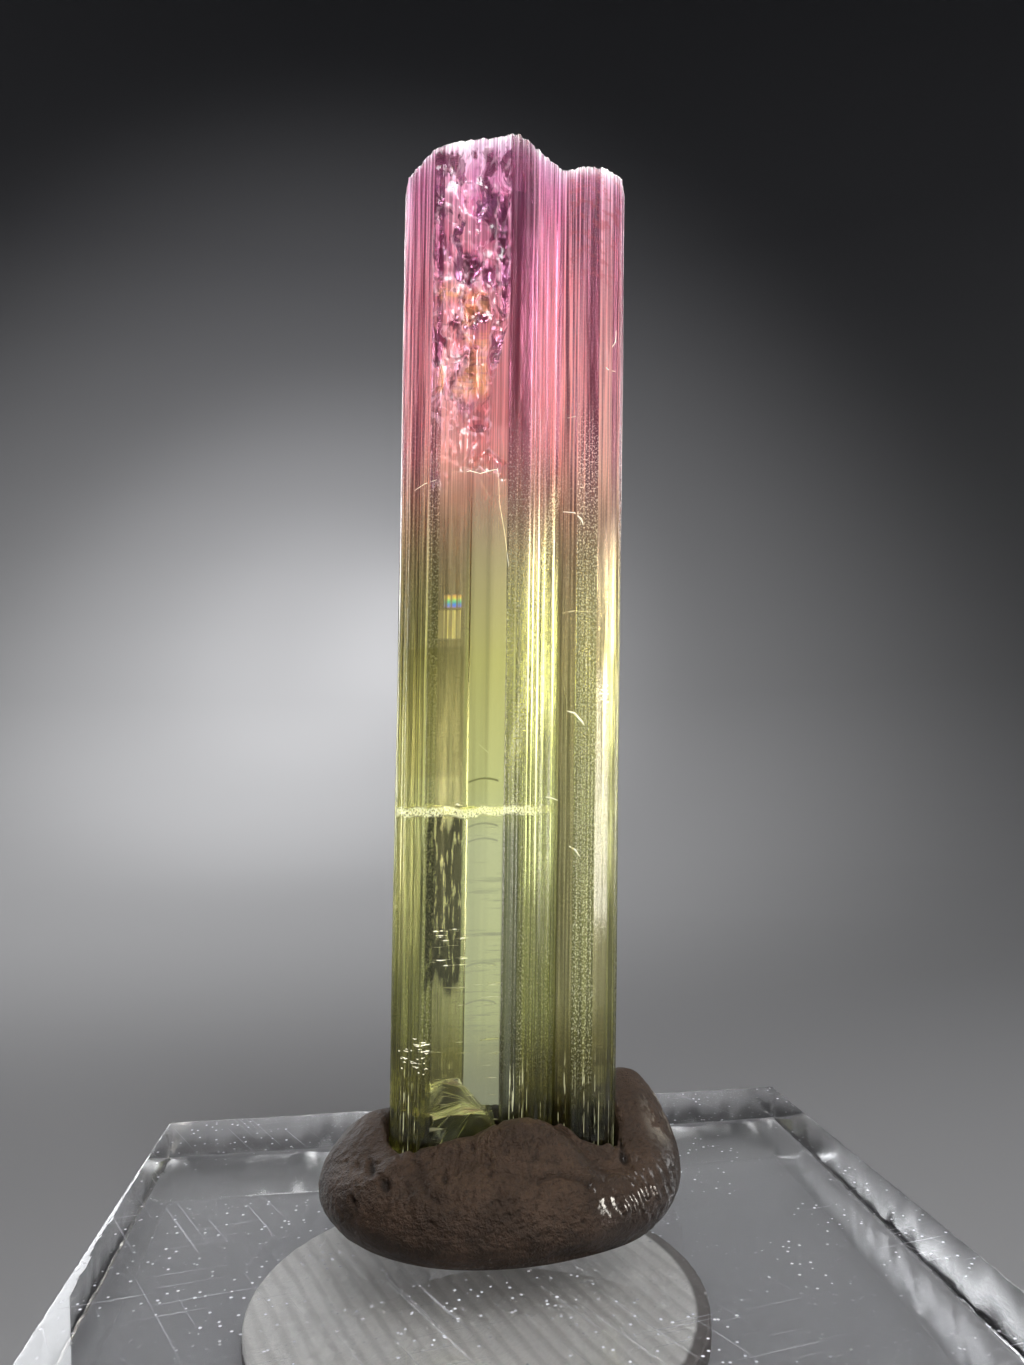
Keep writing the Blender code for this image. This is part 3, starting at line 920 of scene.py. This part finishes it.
def across_crack(settings):
    """The thin crack that crosses the prism, seen from its edge as a jagged pale band."""
    outline = [(x, y) for x, y, *_ in crystal_outline(settings.ridge_seed)][::3]

    def place(shrink, lift):
        def at(number):
            x, y = (c * 0.97 * shrink for c in outline[number])
            x = min(x, 1.7 + 0.35 * rough(y * 2.0, 1.0, 0.0, 2))
            wave = 0.24 * rough(x * 1.1, y * 1.1, 3.0, 3) + 0.16 * rough(x * 5.0, y * 2.0, 8.0)
            return at_height(x, y, CRACK_HEIGHT + wave - 0.02 * x + lift)
        return at

    skin = Skin([place(1.0, 0.0)(number) for number in range(len(outline))])
    for lift in (0.012, -0.012):
        for shrink in (0.98, 0.93, 0.86, 0.78, 0.68, 0.56, 0.42, 0.25):
            skin.grow(place(shrink, lift))
        skin.close()
    return skin.done()


def front_at(x):
    """How far back the front face stands at a place across the section."""
    return along([row[:2] for row in FACES[:FRONT_CORNERS]], x)


def lay_sliver(bm, line, radius):
    """A thin tapered splinter along points (x, height) on the crystal's front, for a painted glint."""
    spots = [at_height(x, front_at(x) + 0.02, height) for x, height in line]
    rings = []
    for number, spot in enumerate(spots):
        ahead = spots[min(number + 1, len(spots) - 1)] - spots[max(number - 1, 0)]
        turn = ahead.to_track_quat("Z", "Y")
        taper = 1.0 if 0 < number < len(spots) - 1 else 0.35
        ring = [turn @ Vector((math.cos(a), math.sin(a), 0)) for a in (math.tau * k / 5 for k in range(5))]
        rings.append([bm.verts.new(spot + point * radius * taper) for point in ring])
    loops = [[bm.edges.new(pair) for pair in zip(ring, ring[1:] + ring[:1])] for ring in rings]
    for a, b in zip(loops, loops[1:]):
        bmesh.ops.bridge_loops(bm, edges=a + b)
    for loop in (loops[0], loops[-1]):
        bmesh.ops.contextual_create(bm, geom=loop)


def slivers_mesh(settings):
    """Nicks, fibres and crack edges on the front, with clusters of small flashes: slivers that stand in for
    the light they catch, as painted glints.
    """
    bm = bmesh.new()
    for radius, line in NICKS:
        lay_sliver(bm, line, radius)
    rng = random.Random(settings.flash_seed)
    for x0, x1, low, high, count, longest in FLASHES:
        for _ in range(count):
            x, height = rng.uniform(x0, x1), rng.uniform(low, high)
            reach = longest * rng.uniform(0.2, 1.0)
            line = ((x, height), (x + reach * 0.5, height + rng.uniform(-0.04, 0.04)), (x + reach, height))
            lay_sliver(bm, line, rng.uniform(0.012, 0.04))
    bmesh.ops.recalc_face_normals(bm, faces=bm.faces)
    return bm


def painted_glint_finish():
    f = Finish("sliver_painted_glint")
    broken = f.noise(f.object_place(), 3.0, 3.0)
    # Painted glints: the slivers glow, standing in for the light caught on the nicks and flashes
    f.principled(
        Base_Color=f.mix(broken.rise(0.3, 0.7), (1.0, 0.98, 0.90), (0.96, 0.94, 0.70)),
        Roughness=0.25,
        Emission_Color=f.mix(broken.rise(0.35, 0.6), (0.5, 0.45, 0.30), (1.0, 0.98, 0.85)),
        Emission_Strength=0.8,
    )
    return f


def crack_painted_glow_finish(settings):
    f = Finish("crack")
    x, y, _ = f.parts(f.object_place())
    broken = f.noise(f.place(x * 2.2, y * 2.2), detail=4.0, roughness=0.7)
    # Painted glow: the crack's emission stands in for the light caught inside it
    f.principled(
        Base_Color=tuple(settings.crack_tint),
        Roughness=0.5,
        Emission_Color=f.mix(broken.rise(0.35, 0.65), (0.30, 0.32, 0.06), (0.95, 0.95, 0.55)),
        Emission_Strength=0.7,
        Alpha=broken.rise(0.30, 0.50) * 0.95,
    )
    return f


def putty_top(x, y):
    lift = PUTTY_TOP + 0.35 * noise.noise(Vector((x * 0.45, y * 0.45, 8.0)))
    for lump_x, lump_y, extra, reach in PUTTY_LUMPS:
        lift += extra * bell(math.hypot(x - lump_x, y - lump_y) / reach)
    return lift


def putty_mesh(settings):
    """A ring pressed round the crystal's foot: grown outwards and under, then down into its pocket."""
    around, up, belly = 440, 64, 26
    corners = [Vector(row[:2]) for row in FACES]
    sides = [(a, b) for a, b in zip(corners, corners[1:] + corners[:1])]
    middle = Vector((PUTTY_X, PUTTY_Y))
    lip_height = 4.3
    axis = Vector((AXIS_X_AT_FOOT + LEAN * lip_height, AXIS_Y))

    def foot_edge(angle):
        """Where a ray from the putty's middle leaves the crystal's section."""
        ray = Vector((math.cos(angle), math.sin(angle)))
        best = 0.0
        for a, b in sides:
            a, b = a + axis - middle, b + axis - middle
            run = b - a
            turn = ray.x * run.y - ray.y * run.x
            if abs(turn) < 1e-9:
                continue
            reach = (a.x * run.y - a.y * run.x) / turn
            share = (a.x * ray.y - a.y * ray.x) / turn
            if reach > 0 and -1e-6 <= share <= 1 + 1e-6:
                best = max(best, reach)
        return middle + ray * (best + 0.03)

    rays = []
    for number in range(around):
        angle = math.tau * number / around
        ray = Vector((math.cos(angle), math.sin(angle)))
        swell = 1 + 0.06 * noise.noise(Vector((ray.x * 1.3, ray.y * 1.3, 2.0)))
        widest = middle + swell * Vector((ray.x * PUTTY_HALF_WIDTH, ray.y * PUTTY_HALF_DEPTH))
        spread = widest - middle
        inner = foot_edge(math.atan2(spread.y, spread.x))
        rays.append((inner, widest, (inner - middle).length / spread.length))

    def surface(number, share):
        """A place on the putty's outside; share runs from the crystal (0) to the widest place (1)."""
        inner, widest, start = rays[number]
        span = start + (1 - start) * math.sin(share * math.pi / 2)
        x, y = middle + (widest - middle) * span
        dome = (1 - span ** PUTTY_ROUNDNESS) ** 0.4
        height = PUTTY_WIDEST_AT + (putty_top(x, y) - PUTTY_WIDEST_AT) * dome
        gap = math.hypot(x - inner.x, y - inner.y)
        frontal = smooth(1.6, 0.6, inner.y)
        lip = along(PUTTY_LIP, inner.x) + 0.05 * rough(inner.x * 3.0, 2.0)
        height += (lip - height) * frontal * bell(gap / 1.5)
        height -= 0.16 * bell(gap / 0.16)
        return Vector((x, y, height))

    def under(number, share):
        """A place on the belly; share runs from the widest place (0) down to the block (1)."""
        _, widest, _ = rays[number]
        span = 1 - PUTTY_UNDERCUT * share ** 2
        x, y = middle + (widest - middle) * span
        fall = min(1.0, 1.97 * (1 - span ** PUTTY_ROUNDNESS) ** 0.55)
        return Vector((x, y, PUTTY_WIDEST_AT * (1 - fall) + PUTTY_SUNK))

    def lifted(spot):
        return Vector((spot.x, spot.y, spot.z + BLOCK_TOP))

    def inwards(edge, shrink, height):
        """A ring drawn in to the middle; edge is 0 from the putty's inner rim and 1 from its widest place."""
        return lambda number: lifted(Vector((*(middle + (rays[number][edge] - middle) * shrink), height)))

    skin = Skin([lifted(surface(number, 0.0)) for number in range(around)])
    sunk = skin.bm.verts.layers.float.new("sunk")
    outer = set()
    for step in range(1, up + 1):
        outer |= skin.grow(lambda number: lifted(surface(number, step / up)))
    for step in range(1, belly + 1):
        outer |= skin.grow(lambda number: lifted(under(number, step / belly)))
    for shrink in (0.8, 0.5, 0.2):
        skin.grow(inwards(1, shrink * (1 - PUTTY_UNDERCUT), PUTTY_SUNK))
    skin.close()
    for drop in (0.15, 0.35, 0.6, 1.0):
        def down(number):
            inner = rays[number][0]
            top = surface(number, 0.0).z
            height = top + (POCKET_FLOOR - top) * drop
            return lifted(Vector((inner.x - LEAN * (top - height), inner.y, height)))
        skin.grow(down)
    for shrink in (0.7, 0.35):
        skin.grow(inwards(0, shrink, POCKET_FLOOR))
    skin.close()
    bm = skin.done()
    bm.normal_update()

    rng = random.Random(settings.pore_seed)
    pores = [(x, height, radius) for x, height, radius in PUTTY_PITS]
    for _ in range(settings.pores):
        pores.append((rng.gauss(-2.6, 2.6), rng.gauss(3.2, 0.8), rng.uniform(0.05, 0.11)))
    spacing, ridge_depth = settings.ridge_spacing / MM, settings.ridge_depth / MM
    for vert in outer:
        x, y, height = vert.co.x, vert.co.y, vert.co.z - BLOCK_TOP
        if height < 0.12:
            continue
        push = 0.05 * rough(x * 0.9, y * 0.9, height * 0.9, 3)
        push += 0.02 * rough(x * 3.4, y * 3.4, height * 3.4, 2)
        cut = 0.0
        if y < 2.6:
            facing = smooth(2.6, 1.6, y)
            for half_width, depth, line in PUTTY_FOLDS:
                apart = from_line((x, height), line) + 0.03 * rough(x * 4, height * 4, 2.0)
                cut = max(cut, facing * depth * bell(max(apart, 0.0) / (1.6 * half_width)))
            for pore_x, pore_height, radius in pores:
                if abs(x - pore_x) < radius * 1.4 and abs(height - pore_height) < radius * 1.4:
                    apart = math.hypot(x - pore_x, height - pore_height) / (radius * 1.4)
                    cut = max(cut, facing * 1.1 * radius * bell(apart))
        pressed = bell(math.hypot(x - RIDGES_AT[0], (height - RIDGES_AT[1]) * 1.5) / RIDGES_REACH)
        if pressed and y < 3.5:
            wave = math.sin(math.tau * (x * 0.93 + height * 0.36 + 0.15 * rough(x, height, 3.0)) / spacing)
            push += ridge_depth * pressed * wave
        vert.co += vert.normal * (push - cut)
        vert[sunk] = cut
    return bm


def scaled(tint, by):
    """A colour made lighter or darker."""
    return tuple(c * by for c in tint)


def putty_finish(settings):
    f = Finish("putty")
    spot = f.object_place()
    x, y, z = f.parts(spot)
    blotch = f.noise(spot, 0.6, 3.0)
    grain = f.noise(spot, 5.0, 4.0, 0.65)
    tint = tuple(settings.tint)
    body = f.mix(blotch.rise(0.35, 0.7), tint, scaled(tint, 1.7))
    body = f.mix(grain.rise(0.55, 0.3) * 0.7, body, scaled(tint, 0.45))
    # Painted light: pale streaks on the back of the rear lump, where it catches the light
    painted_light_streak_mask = f.noise(f.place(x * 1.2, y * 1.2, z * 0.5), detail=3.0, roughness=0.6).rise(0.50, 0.60)
    lump = x.rise(6.2, 7.6) * z.rise(BLOCK_TOP + 2.6, BLOCK_TOP + 4.0)
    body = f.mix(painted_light_streak_mask * lump * 0.9, body, tuple(settings.painted_light_streak))
    # Painted shade: the folds and pores darken with their depth
    body = f.mix(f.attribute("sunk").rise(0.03, 0.22) * 0.85, body, scaled(tint, 0.16))
    skin = f.noise(spot, 11.0, 3.0, 0.6) * 0.5 + f.noise(spot, 3.2)
    pressed = x.within(3.6, 6.8, 1.2) * z.within(BLOCK_TOP + 0.9, BLOCK_TOP + 2.4, 0.8)
    f.principled(
        Base_Color=body,
        Roughness=0.36 + grain * 0.22,
        Specular_IOR_Level=0.25,
        Coat_Weight=pressed * grain.rise(0.42, 0.58),
        Coat_Roughness=0.12,
        Coat_IOR=1.9,
        Normal=f.bump(skin, 0.24, 0.9),
        Subsurface_Weight=0.06,
        Subsurface_Radius=(0.6, 0.4, 0.3),
        Subsurface_Scale=MM,
    )
    return f


def block_mesh(settings):
    """A sawn slab: a divided cube whose rims are bevelled, then worn and chipped."""
    bm = bmesh.new()
    bmesh.ops.create_cube(bm, size=1)
    bmesh.ops.scale(bm, vec=BLOCK_SIZE, verts=bm.verts)
    bmesh.ops.translate(bm, vec=BLOCK_MIDDLE, verts=bm.verts)
    upright = [edge for edge in bm.edges if edge.calc_length() < BLOCK_SIZE.x / 2]
    level = [edge for edge in bm.edges if edge not in upright]
    bmesh.ops.subdivide_edges(bm, edges=level, cuts=119, use_grid_fill=True)
    bmesh.ops.subdivide_edges(bm, edges=upright, cuts=23, use_grid_fill=True)
    rims = [edge for edge in bm.edges if len(edge.link_faces) == 2 and edge.calc_face_angle(0) > 1.0]
    rim = settings.rim / MM
    bmesh.ops.bevel(
        bm, geom=rims, offset=rim, segments=3, profile=0.5, affect="EDGES", material=-1, clamp_overlap=True
    )
    bm.normal_update()
    chip = settings.chip / MM
    for vert in bm.verts:
        depths = sorted(BLOCK_SIZE[k] / 2 - abs(vert.co[k] - BLOCK_MIDDLE[k]) for k in range(3))
        if depths[1] < rim * 1.05:
            spot = vert.co
            wear = 0.5 * abs(rough(spot.x * 2.9, spot.y * 2.9, spot.z * 2.9, 2))
            wear += 0.5 * smooth(0.35, 0.6, rough(spot.x * 1.9, spot.y * 1.9, spot.z * 2.0 + 5.0, 2))
            vert.co -= vert.normal * chip * min(wear, 1.0)
    return bm


def acrylic_finish(settings):
    f = Finish("clear_acrylic")
    spot = f.object_place()
    x, y, z = f.parts(spot)
    on_top = z.rise(BLOCK_TOP - 0.02, BLOCK_TOP - 0.004)
    on_side = (1 - on_top) * z.rise(BLOCK_LOW.z + 0.01, BLOCK_LOW.z + 0.06)
    sawn = f.noise(f.place(x * 0.7, y * 0.7, z * 8.0), detail=3.0, roughness=0.7)
    scratch_a = f.noise(f.place(x * 0.10 + y * 0.03, y * 7.0 - x * 1.4, 1.0), detail=1.0).rise(0.68, 0.71)
    scratch_b = f.noise(f.place(y * 0.09, x * 6.0 + y * 2.9, 5.0), detail=1.0).rise(0.68, 0.71)
    dust = f.cells(f.place(x * 2.2, y * 2.2, 3.0), 1.0).rise(0.20, 0.10)
    patches = f.noise(f.place(x * 0.16, y * 0.16, 7.0), detail=3.0).rise(0.42, 0.62)
    # Scratches and dust on the top: real marks, whitened and given a painted glow
    marks = (scratch_a * 0.35 + scratch_b * 0.30 + dust) * (patches + 0.2) * on_top
    wear = f.noise(spot, 1.6, 4.0, 0.7)
    from_sides = (BLOCK_SIZE.x / 2 - abs(x)).lowest(BLOCK_SIZE.y / 2 - abs(y))
    # Painted highlight: sparkles along the top rims
    rims = from_sides.rise(0.45, 0.10) * z.rise(BLOCK_TOP - 0.9, BLOCK_TOP - 0.2)
    painted_rim_sparkles = f.noise(spot, 7.0, 3.0, 0.7).rise(0.60, 0.70) * rims
    level = sawn * on_side * 0.6
    f.principled(
        Base_Color=tuple(settings.tint),
        Roughness=0.015 + on_side * (0.06 + sawn * 0.2) + on_top * wear.rise(0.45, 0.75) * 0.05,
        IOR=settings.refraction,
        Transmission_Weight=1.0,
        Normal=f.bump(level, 0.03, 0.5),
    )
    # The veil's emission is a painted glow on the marks and on the painted rim sparkles
    f.veil(
        (marks * 0.7 + painted_rim_sparkles * 0.8).lowest(0.85),
        Base_Color=(0.90, 0.90, 0.95),
        Roughness=0.3,
        Emission_Color=(0.55, 0.55, 0.62),
        Emission_Strength=0.7,
    )
    return f


def pad_mesh(settings):
    """A round pad grown out from the middle of its ridged face, over its cut edge and back under."""
    around, rings = 360, 56
    spacing, ridge = settings.ridge_spacing / MM, settings.ridge_height / MM

    def place(reach, level):
        def at(number):
            angle = math.tau * number / around
            frayed = reach * (1 - 0.006 * abs(rough(math.cos(angle) * 14, math.sin(angle) * 14, 0.0, 2)))
            x, y = PAD_RADIUS * frayed * math.cos(angle), PAD_RADIUS * frayed * math.sin(angle)
            z = level
            if level == PAD_THICK:
                run = x * PAD_RIDGE_WAY[0] + y * PAD_RIDGE_WAY[1]
                wave = 0.5 - 0.5 * math.sin(math.tau * run / spacing + 0.6 * rough(x * 0.3, y * 0.3))
                z -= ridge * wave * smooth(1.0, 0.97, reach) + 0.02 * abs(rough(x * 2.5, y * 2.5, 0.0, 2))
            return Vector((PAD_MIDDLE.x + x, PAD_MIDDLE.y + y, PAD_LOW.z + z))
        return at

    skin = Skin([place(PAD_FACE_REACH, PAD_THICK)(number) for number in range(around)])
    for step in range(1, rings):
        skin.grow(place(PAD_FACE_REACH * (1 - step / rings), PAD_THICK))
    skin.close()
    for reach, level in PAD_CUT_EDGE:
        skin.grow(place(reach, level))
    skin.close()
    return skin.done()


def pad_finish(settings):
    f = Finish("pad")
    spot = f.object_place()
    x, y, z = f.parts(spot)
    fibre = f.noise(f.place(x * 2.0 + y * 1.5, y * 9.0 - x * 6.0, z), detail=3.0, roughness=0.65)
    cloud = f.noise(spot, 0.25, 3.0)
    tint = tuple(settings.tint)
    body = f.mix(fibre.rise(0.35, 0.7) * 0.5, tint, scaled(tint, 0.72))
    body = f.mix(cloud.rise(0.4, 0.7) * 0.3, body, scaled(tint, 0.8))
    edge = z.rise(PAD_HIGH.z - 0.16, PAD_HIGH.z - 0.30)
    wave = (x * PAD_RIDGE_WAY[0] + y * PAD_RIDGE_WAY[1]) * (math.tau / (settings.ridge_spacing / MM))
    wave = (wave + cloud * 2.0).sine()
    body = f.mix(wave.rise(-0.4, 1.0) * 0.30, body, scaled(tint, 0.45))
    # The cut edge is dark; the crescent round the pad's right is a painted shadow
    aside = f.place(x - PAD_MIDDLE.x + 0.5, y - PAD_MIDDLE.y)
    aside = f.node("ShaderNodeVectorMath", {"operation": "LENGTH"}, {0: aside}, 1)
    painted_shadow_crescent = aside.rise(PAD_RADIUS - 0.25, PAD_RADIUS - 0.02)
    body = f.mix((edge * 0.9).highest(painted_shadow_crescent * 0.85), body, (0.10, 0.08, 0.07))
    f.principled(Base_Color=body, Roughness=0.75, Normal=f.bump(fibre, 0.05, 0.8))
    return f


def aim(obj, place, target, roll=0.0):
    """Puts a camera or light at a place, looking at a target, both in millimetres."""
    look = (Vector(target) - Vector(place)).to_track_quat("-Z", "Y")
    obj.rotation_mode = "QUATERNION"
    obj.rotation_quaternion = look @ Quaternion((0, 0, 1), roll)
    obj.location = Vector(place) * MM


def make_camera():
    data = bpy.data.cameras.new("camera")
    data.sensor_width = 36.0
    data.lens = CAMERA_FOCUS_PX / PHOTO_LONG_SIDE_PX * data.sensor_width
    data.clip_start = MM
    camera = bpy.data.objects.new("camera", data)
    bpy.context.scene.collection.objects.link(camera)
    place = Vector((*CAMERA_PLACE[:2], BLOCK_TOP + CAMERA_PLACE[2]))
    yaw, pitch = math.radians(CAMERA_YAW), math.radians(CAMERA_PITCH)
    look = Vector((math.sin(yaw) * math.cos(pitch), math.cos(yaw) * math.cos(pitch), math.sin(pitch)))
    aim(camera, place, place + look, math.radians(CAMERA_ROLL))
    bpy.context.scene.camera = camera


def softbox(name, place, target, size, watts, tint=(1, 1, 1), on_matte=True):
    """An area light out of the camera's sight; with on_matte off it shows in gloss and glass alone."""
    data = bpy.data.lights.new(name, "AREA")
    data.shape = "RECTANGLE"
    data.size, data.size_y = (side * MM for side in size)
    data.energy = watts
    data.color = tint
    light = bpy.data.objects.new(name, data)
    bpy.context.scene.collection.objects.link(light)
    light.visible_camera = False
    light.visible_diffuse = on_matte
    aim(light, place, target)
    return light


def glow(name, place, target, degrees, watts):
    """A spot with a wholly soft edge."""
    data = bpy.data.lights.new(name, "SPOT")
    data.spot_size = math.radians(degrees)
    data.spot_blend = 1.0
    data.energy = watts
    data.shadow_soft_size = 20 * MM
    light = bpy.data.objects.new(name, data)
    bpy.context.scene.collection.objects.link(light)
    light.visible_camera = False
    aim(light, place, target)
    return light


def sweep_mesh():
    """A round studio sweep: a floor that curves up into a wall all the way round."""
    bm = bmesh.new()
    profile = [(0.0, 0.0), (SWEEP_FLAT, 0.0)]
    for step in range(1, 13):
        turn = math.pi / 2 * step / 12
        profile.append((SWEEP_FLAT + SWEEP_CURVE * math.sin(turn), SWEEP_CURVE * (1 - math.cos(turn))))
    profile.append((SWEEP_FLAT + SWEEP_CURVE, SWEEP_TOP))
    verts = [bm.verts.new((r, 0, z)) for r, z in profile]
    edges = [bm.edges.new(pair) for pair in zip(verts, verts[1:])]
    bmesh.ops.spin(
        bm, geom=verts + edges, cent=(0, 0, 0), axis=(0, 0, 1), angle=math.tau, steps=96, use_merge=True
    )
    bmesh.ops.remove_doubles(bm, verts=bm.verts, dist=0.01)
    bmesh.ops.recalc_face_normals(bm, faces=bm.faces)
    bmesh.ops.reverse_faces(bm, faces=bm.faces)
    return bm


def sweep_finish(settings):
    f = Finish("sweep_paper")
    _, _, height = f.parts(f.object_place())
    floor, wall = tuple(settings.floor), tuple(settings.wall)
    # Painted shade: darker from the pale floor up the wall, as if the wall fell away from the light
    f.principled(
        Base_Color=f.ramp(height / SWEEP_TOP, ((0.0, floor), (0.12, scaled(floor, 0.7)), (0.6, wall))),
        Roughness=1.0,
        Specular_IOR_Level=0.0,
    )
    return f


class TOURMALINE_OT_grow_crystal(bpy.types.Operator):
    """Grow the tourmaline: its ridged prism, its etched hollow, its toothed top and its broken foot"""

    bl_idname = "tourmaline.grow_crystal"
    bl_label = "Grow Crystal"

    def execute(self, context):
        settings = context.scene.tourmaline_crystal
        mesh, finish = crystal_mesh(settings), tourmaline_finish(settings)
        finish_piece(mesh, "tourmaline", finish, "tourmaline_crystal", 28)
        return {"FINISHED"}


class TOURMALINE_OT_open_cracks(bpy.types.Operator):
    """Open the cracks inside the tourmaline, with a painted glow in them and glowing slivers as painted
    glints on its front
    """

    bl_idname = "tourmaline.open_cracks"
    bl_label = "Open Cracks"

    def execute(self, context):
        settings = context.scene.tourmaline_crystal
        finish_piece(across_crack(settings), "cross_crack", crack_painted_glow_finish(settings))
        finish_piece(slivers_mesh(settings), "crack_edges_painted_glints", painted_glint_finish(), None, 60)
        return {"FINISHED"}


class TOURMALINE_OT_press_putty(bpy.types.Operator):
    """Press the putty round the crystal's foot, with its folds, pores and finger ridges"""

    bl_idname = "tourmaline.press_putty"
    bl_label = "Press Putty"

    def execute(self, context):
        settings = context.scene.tourmaline_putty
        mesh, finish = putty_mesh(settings), putty_finish(settings)
        finish_piece(mesh, "putty", finish, "mounting_putty", 70)
        return {"FINISHED"}


class TOURMALINE_OT_saw_block(bpy.types.Operator):
    """Saw the clear block and wear its edges"""

    bl_idname = "tourmaline.saw_block"
    bl_label = "Saw Block"

    def execute(self, context):
        settings = context.scene.tourmaline_block
        mesh, finish = block_mesh(settings), acrylic_finish(settings)
        finish_piece(mesh, "acrylic_block", finish, "clear_block", 30)
        return {"FINISHED"}


class TOURMALINE_OT_cut_pad(bpy.types.Operator):
    """Cut the round white pad under the block"""

    bl_idname = "tourmaline.cut_pad"
    bl_label = "Cut Pad"

    def execute(self, context):
        settings = context.scene.tourmaline_pad
        mesh, finish = pad_mesh(settings), pad_finish(settings)
        finish_piece(mesh, "round_pad", finish, "white_disc", 40)
        return {"FINISHED"}


class TOURMALINE_OT_set_stage(bpy.types.Operator):
    """Set the sweep, the lights and the camera"""

    bl_idname = "tourmaline.set_stage"
    bl_label = "Set Stage"

    def execute(self, context):
        settings = context.scene.tourmaline_stage
        mesh_object(sweep_mesh(), "sweep", sweep_finish(settings), 80)
        make_camera()
        for panel in PANELS:
            softbox(*panel, on_matte=False)
        softbox(*WINDOW_PANEL, on_matte=False).visible_glossy = False
        softbox("front_top", (20, -110, 190), (0, -12, 0), (90, 90), 0.34)
        for torch in TORCHES:
            glow(*torch).visible_glossy = False
        for name, target, degrees, watts, narrow in WALL_GLOWS:
            glow(name, WALL_GLOW_FROM, target, degrees, watts).scale.x = narrow
        world = Finish("studio_air", world=True)
        world.set(world.tree.nodes["Background"], "Color", tuple(settings.air))
        context.scene.world = world.owner
        context.scene.view_settings.view_transform = "Standard"
        return {"FINISHED"}


class TOURMALINE_PT_maker(bpy.types.Panel):
    bl_label = "Tourmaline"
    bl_space_type = "VIEW_3D"
    bl_region_type = "UI"
    bl_category = "Tourmaline"

    def draw(self, context):
        for maker in MAKERS:
            self.layout.operator(maker.bl_idname)


SETTINGS = {
    "tourmaline_crystal": TOURMALINE_PG_crystal,
    "tourmaline_putty": TOURMALINE_PG_putty,
    "tourmaline_block": TOURMALINE_PG_block,
    "tourmaline_pad": TOURMALINE_PG_pad,
    "tourmaline_stage": TOURMALINE_PG_stage,
}
MAKERS = (
    TOURMALINE_OT_grow_crystal,
    TOURMALINE_OT_open_cracks,
    TOURMALINE_OT_press_putty,
    TOURMALINE_OT_saw_block,
    TOURMALINE_OT_cut_pad,
    TOURMALINE_OT_set_stage,
)


def register():
    for kind in (*SETTINGS.values(), *MAKERS, TOURMALINE_PT_maker):
        bpy.utils.register_class(kind)
    for name, kind in SETTINGS.items():
        setattr(bpy.types.Scene, name, PointerProperty(type=kind))


def unregister():
    for name in SETTINGS:
        delattr(bpy.types.Scene, name)
    for kind in reversed((*SETTINGS.values(), *MAKERS, TOURMALINE_PT_maker)):
        bpy.utils.unregister_class(kind)


def main():
    register()
    bpy.ops.tourmaline.grow_crystal()
    bpy.ops.tourmaline.open_cracks()
    bpy.ops.tourmaline.press_putty()
    bpy.ops.tourmaline.saw_block()
    bpy.ops.tourmaline.cut_pad()
    bpy.ops.tourmaline.set_stage()
    bpy.context.view_layer.update()


if __name__ == "__main__":
    main()
